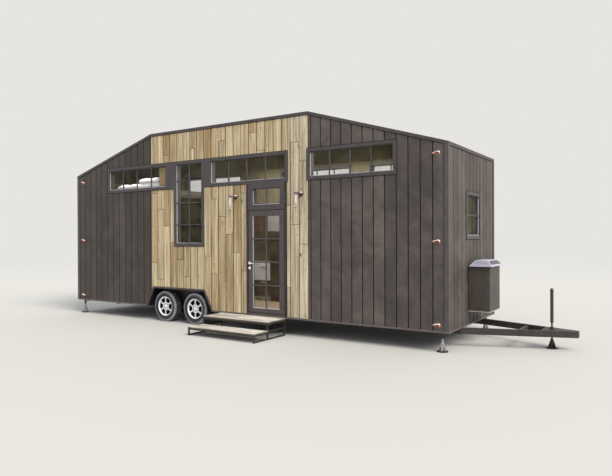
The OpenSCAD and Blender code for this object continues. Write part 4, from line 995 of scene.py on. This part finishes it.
def build_steps():
    """Deck boards with worn edges: a nine-sided section carried along X.

    Its top sags and its near edge wanders by slow sine waves along the board.
    """
    for node, first in (("upper_step", 3.0), ("lower_step", 9.0)):
        lo, hi = house_box(node)
        pitch = (hi[1] - lo[1] + STEP_GAP) / STEP_BOARDS
        x = np.linspace(lo[0], hi[0], STEP_CUTS)[:, None]
        parts, numbers, sides = [], [], []
        for i in range(STEP_BOARDS):
            a, b = lo[1] + i * pitch, lo[1] + (i + 1) * pitch - STEP_GAP
            sag = 0.0012 * np.sin(x * 5 + i * 2.1) + 0.0008 * np.sin(x * 13 + i)
            wander = 0.0009 * (1 + np.sin(x * 9 + i * 1.7)) / 2
            y, z = np.array([
                (a + 0.002, lo[2]), (a, lo[2] + 0.004), (a, hi[2] - 0.006), (a + 0.005, hi[2] - 0.001),
                ((a + b) / 2, hi[2] - 0.0025), (b - 0.005, hi[2] - 0.001), (b, hi[2] - 0.006),
                (b, lo[2] + 0.004), (b - 0.002, lo[2])]).T
            made = np.stack(np.broadcast_arrays(x, y + wander * (y < (a + b) / 2),
                                                z - np.abs(sag) * (z > (lo[2] + hi[2]) / 2)), -1)
            cap = np.array([[k, 8 - k, 7 - k, k + 1] for k in range(4)])
            parts.append((made.reshape(-1, 3), np.concatenate([
                grid_faces(STEP_CUTS, 9, wrap_columns=True), cap[:, ::-1], cap + (STEP_CUTS - 1) * 9])))
            numbers.append(np.full(STEP_CUTS * 9, i + first))
            # the sides below each board's top are marked for painted shade
            sides.append(np.tile(z < hi[2] - 0.004, STEP_CUTS))
        piece(f"{node}_boards", *joined(parts), "step_wood", slot="step_wood", stands_for=(node,),
              values={"board": np.concatenate(numbers), "edge": np.concatenate(sides)})


# Indoors

FRONT_T, FRONT_GAP = 0.018, 0.003
TOE, WORKTOP_T = 0.09, 0.038
GRIP_SHARE, GRIP_OUT, GRIP_Z = 0.3, 0.022, (-0.050, -0.038)
CUPBOARD = (0.620, 0.330, 0.655)


def fronts(x, z, y, uprights, levels):
    """Cabinet fronts standing on the plane y: panels between shares of the spans x and z."""
    xs = x[0] + (x[1] - x[0]) * np.array(uprights)
    zs = z[0] + (z[1] - z[0]) * np.array(levels)
    cells = [(i, j) for i in range(len(xs) - 1) for j in range(len(zs) - 1)]
    lows = [[xs[i] + FRONT_GAP, y - FRONT_T, zs[j] + FRONT_GAP] for i, j in cells]
    highs = [[xs[i + 1] - FRONT_GAP, y, zs[j + 1] - FRONT_GAP] for i, j in cells]
    return np.array(lows), np.array(highs)


def build_kitchen():
    """Fronts on the cabinets, each a bevelled panel, bar handles on the low ones, and tiles."""
    lo, hi = house_box("base_cabinets")
    lows, highs = fronts((lo[0], hi[0]), (DECK_Z + TOE, hi[2] - WORKTOP_T), lo[1] + FRONT_T,
                         (0, 1 / 3, 2 / 3, 1), (0, 0.5, 1))
    for name, row, finish in (("drawer_fronts", 1, "cupboard"), ("cabinet_fronts", 0, "veneer")):
        piece(name, *boxes(lows[row::2], highs[row::2]), finish, slot="kitchen_white", edges=0.002)
    inset = (highs[:, 0] - lows[:, 0]) * GRIP_SHARE
    grips = boxes(np.stack([lows[:, 0] + inset, lows[:, 1] - GRIP_OUT, highs[:, 2] + GRIP_Z[0]], -1),
                  np.stack([highs[:, 0] - inset, lows[:, 1], highs[:, 2] + GRIP_Z[1]], -1))
    piece("cabinet_grips", *grips, "steel", slot="kitchen_white", edges=0.003)
    lo, hi = house_box("tall_cabinet")
    tall = fronts((lo[0], hi[0]), (DECK_Z + TOE, hi[2]), lo[1], (0, 1), (0, 0.5, 1))
    lo, hi = house_box("wall_units")
    wall = fronts((lo[0], lo[0] + CUPBOARD[0]), (hi[2] - CUPBOARD[2], hi[2]), hi[1] - CUPBOARD[1],
                  (0, 0.5, 1), (0, 1))
    tiles = boxes([[lo[0] + CUPBOARD[0] + FRONT_GAP, hi[1] - 0.004, hi[2] - CUPBOARD[2]]],
                  [[hi[0], hi[1] - 0.001, hi[2]]])
    piece("splashback", *tiles, "tile", slot="kitchen_white")
    panels = boxes(np.concatenate([tall[0], wall[0]]), np.concatenate([tall[1], wall[1]]))
    piece("dark_fronts", *panels, "veneer", slot="kitchen_wood", edges=0.002)


def pillow_surface(size, count=30):
    """A pillow from size[0] by size[1], size[2] thick: two crowned sheets that meet in one seam.

    Over u and v from -1 to 1 the half thickness is the product of two arches that fall to nothing
    at the seam. The seam's sides are drawn in by a small share, most at their middles and not at
    the corners, and short pleats run in from them.
    """
    t = np.sin(np.linspace(-1, 1, count) * TAU / 4)
    u, v = np.meshgrid(t, t, indexing="ij")
    x, y = u * (1 - 0.07 * (1 - v * v)), v * (1 - 0.07 * (1 - u * u))
    crown = ((1 - u ** 4) * (1 - v ** 4)) ** 0.5
    pleats = [0.05 * np.sin(k * p + m * q) * (np.abs(q) ** 3)
              for p, q, k, m in ((u, v, 9, 3), (v, u, 8, -2))]
    half = crown * (1 + pleats[0] + pleats[1])
    faces = grid_faces(count, count)
    return joined([(np.stack([x, y, s * half], -1).reshape(-1, 3) * np.array(size) / 2, faces[:, ::s])
                   for s in (1, -1)])


TUFT, TUFT_PITCH = 0.008, 0.3
TOP_SHARE = 0.44


def mattress_surface(lo, hi, rows=56, columns=200):
    """A quilted slab with a rounded edge. Tufts, a product of two cosines squared, dent its top.

    Its outline is a square with rounded corners, drawn in rings from the middle of the top, over
    the rounded edge, to the middle of the bottom.
    """
    size, middle = (hi - lo) / 2, (lo + hi) / 2
    s = np.linspace(0, 1, rows)[:, None]
    a = np.arange(columns)[None] * TAU / columns
    square = 1 / np.maximum(np.abs(np.cos(a)) ** 12 + np.abs(np.sin(a)) ** 12, 1e-9) ** (1 / 12)
    ring = np.minimum(1, np.where(s < 0.5, s, 1 - s) / TOP_SHARE) * square
    edge = np.clip((s - TOP_SHARE) / (1 - 2 * TOP_SHARE), 0, 1)
    height = np.cos(edge * math.pi) * 0.97
    x, y = ring * np.cos(a) * size[0], ring * np.sin(a) * size[1]
    tuft = TUFT * (np.cos(x * TAU / TUFT_PITCH) * np.cos(y * TAU / TUFT_PITCH)) ** 2 * (s < TOP_SHARE)
    points = np.stack([x, y, height * size[2] - tuft], -1) + middle
    return points.reshape(-1, 3), grid_faces(rows, columns, wrap_columns=True)


def puffed(obj, voxel, pressure, cap, frames=20):
    """Swells a closed cover as its filling does: remeshed evenly, then a cloth blown from within.

    No point moves further than cap.
    """
    scene = bpy.context.scene

    def applied():
        mesh = bpy.data.meshes.new_from_object(obj.evaluated_get(bpy.context.evaluated_depsgraph_get()))
        points = np.empty(len(mesh.vertices) * 3)
        mesh.vertices.foreach_get("co", points)
        return mesh, points.reshape(-1, 3)

    even = obj.modifiers.new("even", "REMESH")
    even.mode, even.voxel_size, even.use_smooth_shade = "VOXEL", voxel, True
    mesh, start = applied()
    obj.modifiers.remove(even)
    obj.data = mesh
    cloth = obj.modifiers.new("filling", "CLOTH")
    cloth.settings.use_pressure = True
    cloth.settings.uniform_pressure_force = pressure
    cloth.settings.effector_weights.gravity = 0
    cloth.point_cache.frame_start, cloth.point_cache.frame_end = 1, frames
    for number in range(1, frames + 1):
        scene.frame_set(number)
    swollen = applied()[1]
    obj.modifiers.remove(cloth)
    scene.frame_set(1)
    move = swollen - start
    length = np.linalg.norm(move, axis=1, keepdims=True)
    end = start + move * np.minimum(1, cap / np.maximum(length, 1e-9))
    mesh.vertices.foreach_set("co", end.ravel())
    mesh.update()
    return obj


PILLOW_TURNS, PILLOW_GAP, PILLOW_T = (3, -4, 2, -3), 0.015, 0.135
PILLOW_EASE = (0.01, 0.03)
SECOND_LAYER = 1.28


def build_bedding():
    """A quilted mattress, and a row of pillows with two more on it, stuffed by simulation."""
    mattress = piece("mattress_cover", *mattress_surface(*house_box("mattress")), "ticking",
                     slot="bedding", smooth=True, stands_for=("mattress",))
    lo, hi = house_box("pillows")
    length = (hi[0] - lo[0] + PILLOW_GAP) / len(PILLOW_TURNS) - PILLOW_GAP
    points, faces = pillow_surface((length - PILLOW_EASE[0], hi[1] - lo[1] - PILLOW_EASE[1], PILLOW_T))
    places = [(lo[0] + length / 2 + i * (length + PILLOW_GAP), lo[2] + PILLOW_T / 2, turn)
              for i, turn in enumerate(PILLOW_TURNS)]
    places += [(x, lo[2] + PILLOW_T * SECOND_LAYER, turn) for x, _, turn in (places[-1], places[-2])]
    parts = []
    for x, z, turn in places:
        c, k = math.cos(math.radians(turn)), math.sin(math.radians(turn))
        parts.append((points @ np.array([[c, k, 0], [-k, c, 0], [0, 0, 1]])
                      + [x, (lo[1] + hi[1]) / 2, z], faces))
    pillows = piece("pillow_covers", *joined(parts), "linen", slot="bedding", smooth=True,
                    stands_for=("pillows",))
    puffed(pillows, voxel=0.008, pressure=4.0, cap=0.010)


# The finish of every CAD node, by the beginnings of the nodes' names
DRESS = {
    "chassis": "chassis drawbar jack_sockets tongue_jack_collar axles",
    "foot": "corner_jack",
    "jack": "tongue_jack",
    "floor": "floor_deck",
    "wall": "front_wall back_wall end_wall",
    "roof": "roof",
    "trim": "roof_trim band_panels window_frames door_hinges",
    "corner": "corner_trims",
    "rail": "base_rails",
    "arch": "wheel_arches",
    "jamb": "door_frame",
    "door": "door_leaf",
    "glass": "window_glass door_glass",
    "lamp_glass": "wall_lamp_glass",
    "steel": "door_lever",
    "lamp_metal": "wall_lamps",
    "chrome": "marker_lamps",
    "rubber": "tyre",
    "alloy": "rim",
    "box": "storage_box",
    "lid": "storage_lid",
    "step_steel": "step_frame",
    "step_wood": "upper_step lower_step",
    "loft": "loft_screen",
    "loft_floor": "loft_floor",
    "linen": "mattress pillows",
    "cupboard": "base_cabinets",
    "veneer": "tall_cabinet wall_units",
}


def dress_nodes():
    """Gives every CAD node the finish that the longest fitting beginning names."""
    finishes = {start: finish for finish, starts in DRESS.items() for start in starts.split()}
    for name, node in NODES.items():
        start = max((start for start in finishes if name.startswith(start)), key=len)
        node.data.materials.clear()
        node.data.materials.append(FINISH[finishes[start]])


# Camera, floor and light

LENS_MM = 33.45
CAMERA_AT = np.array([7.4255, -9.6719, 1.8060])
YAW, PITCH, ROLL = math.radians(123.093), math.radians(-0.263), math.radians(-0.226)


def build_camera():
    """The photograph's view: placed in the house's frame, turned by yaw, pitch and roll."""
    forward = Vector((math.cos(PITCH) * math.cos(YAW), math.cos(PITCH) * math.sin(YAW), math.sin(PITCH)))
    right = Vector((math.sin(YAW), -math.cos(YAW), 0))
    up = right.cross(forward)
    turned_right = math.cos(ROLL) * right + math.sin(ROLL) * up
    turned_up = math.cos(ROLL) * up - math.sin(ROLL) * right
    data = bpy.data.cameras.new("camera")
    data.lens, data.sensor_width = LENS_MM, 36.0
    data.clip_start, data.clip_end = 0.1, 200.0
    camera = placed("camera", data)
    turn = Matrix((turned_right, turned_up, -forward)).transposed().to_4x4()
    camera.matrix_world = Matrix.Translation(Vector(CAMERA_AT + HOUSE)) @ turn
    bpy.context.scene.camera = camera


BACKDROP = "e6e5e1"
SKY = (0.93, 0.97, 1.02)
REACH, FADE = 60, (12, 30)
SUN_FROM, SUN_COLOUR = Vector((0.70, -0.22, 0.68)), (1.0, 0.95, 0.88)


def build_stage():
    """A pale floor that fades into a pale backdrop, and an even sky."""
    p = paint("stage_floor")
    p.set(base_color="b9b7b2", roughness=0.9)
    far = p.level(p.node("ShaderNodeVectorMath", {"operation": "LENGTH"}, {0: p.place}, out="Value"), *FADE)
    shown = p.node("ShaderNodeEmission", {}, {"Color": BACKDROP, "Strength": 1.0})
    both = p.node("ShaderNodeMixShader", {},
                  {0: p.seen() * far, 1: Sock(p, p.shader.outputs[0]), 2: shown})
    p.feed(p.tree.nodes["Material Output"].inputs["Surface"], both)
    slab = boxes([[-REACH, -REACH, -0.02]], [[REACH, REACH, 0.0]])
    placed("floor", meshed("floor", *slab, p.owner))
    world = bpy.context.scene.world = bpy.data.worlds.new("sky")
    sky = Paint(world, "Background")
    sky.set(color=sky.mix(sky.seen(), SKY, BACKDROP))


def build_lights():
    """One large soft sun, and two soft lights indoors: over the kitchen and by the loft's window."""
    data = bpy.data.lights.new("sun", "SUN")
    data.energy, data.angle, data.color = 3.6, math.radians(35), SUN_COLOUR
    placed("sun", data).rotation_euler = SUN_FROM.to_track_quat("Z", "Y").to_euler()
    for name, size, watts, at, tilt in (("room_light", (4.6, 1.6), 124.0, (1.4, 0.1, 3.40), 0),
                                        ("loft_light", (1.8, 0.3), 11.0, (-3.0, -1.08, 3.30), 55)):
        data = bpy.data.lights.new(name, "AREA")
        data.shape, data.size, data.size_y = "RECTANGLE", *size
        data.energy = watts
        light = placed(name, data)
        light.location = Vector(HOUSE) + Vector(at)
        light.rotation_euler.x = math.radians(tilt)
        light.visible_camera = False


build_camera()
build_stage()
build_lights()
dress_nodes()
build_cladding()
build_glazing()
build_door()
build_tyres()
build_foot_bolts()
build_lid_insets()
build_marker_lamps()
build_bulbs()
build_steps()
build_kitchen()
build_bedding()
bpy.context.scene.view_settings.view_transform = "Standard"
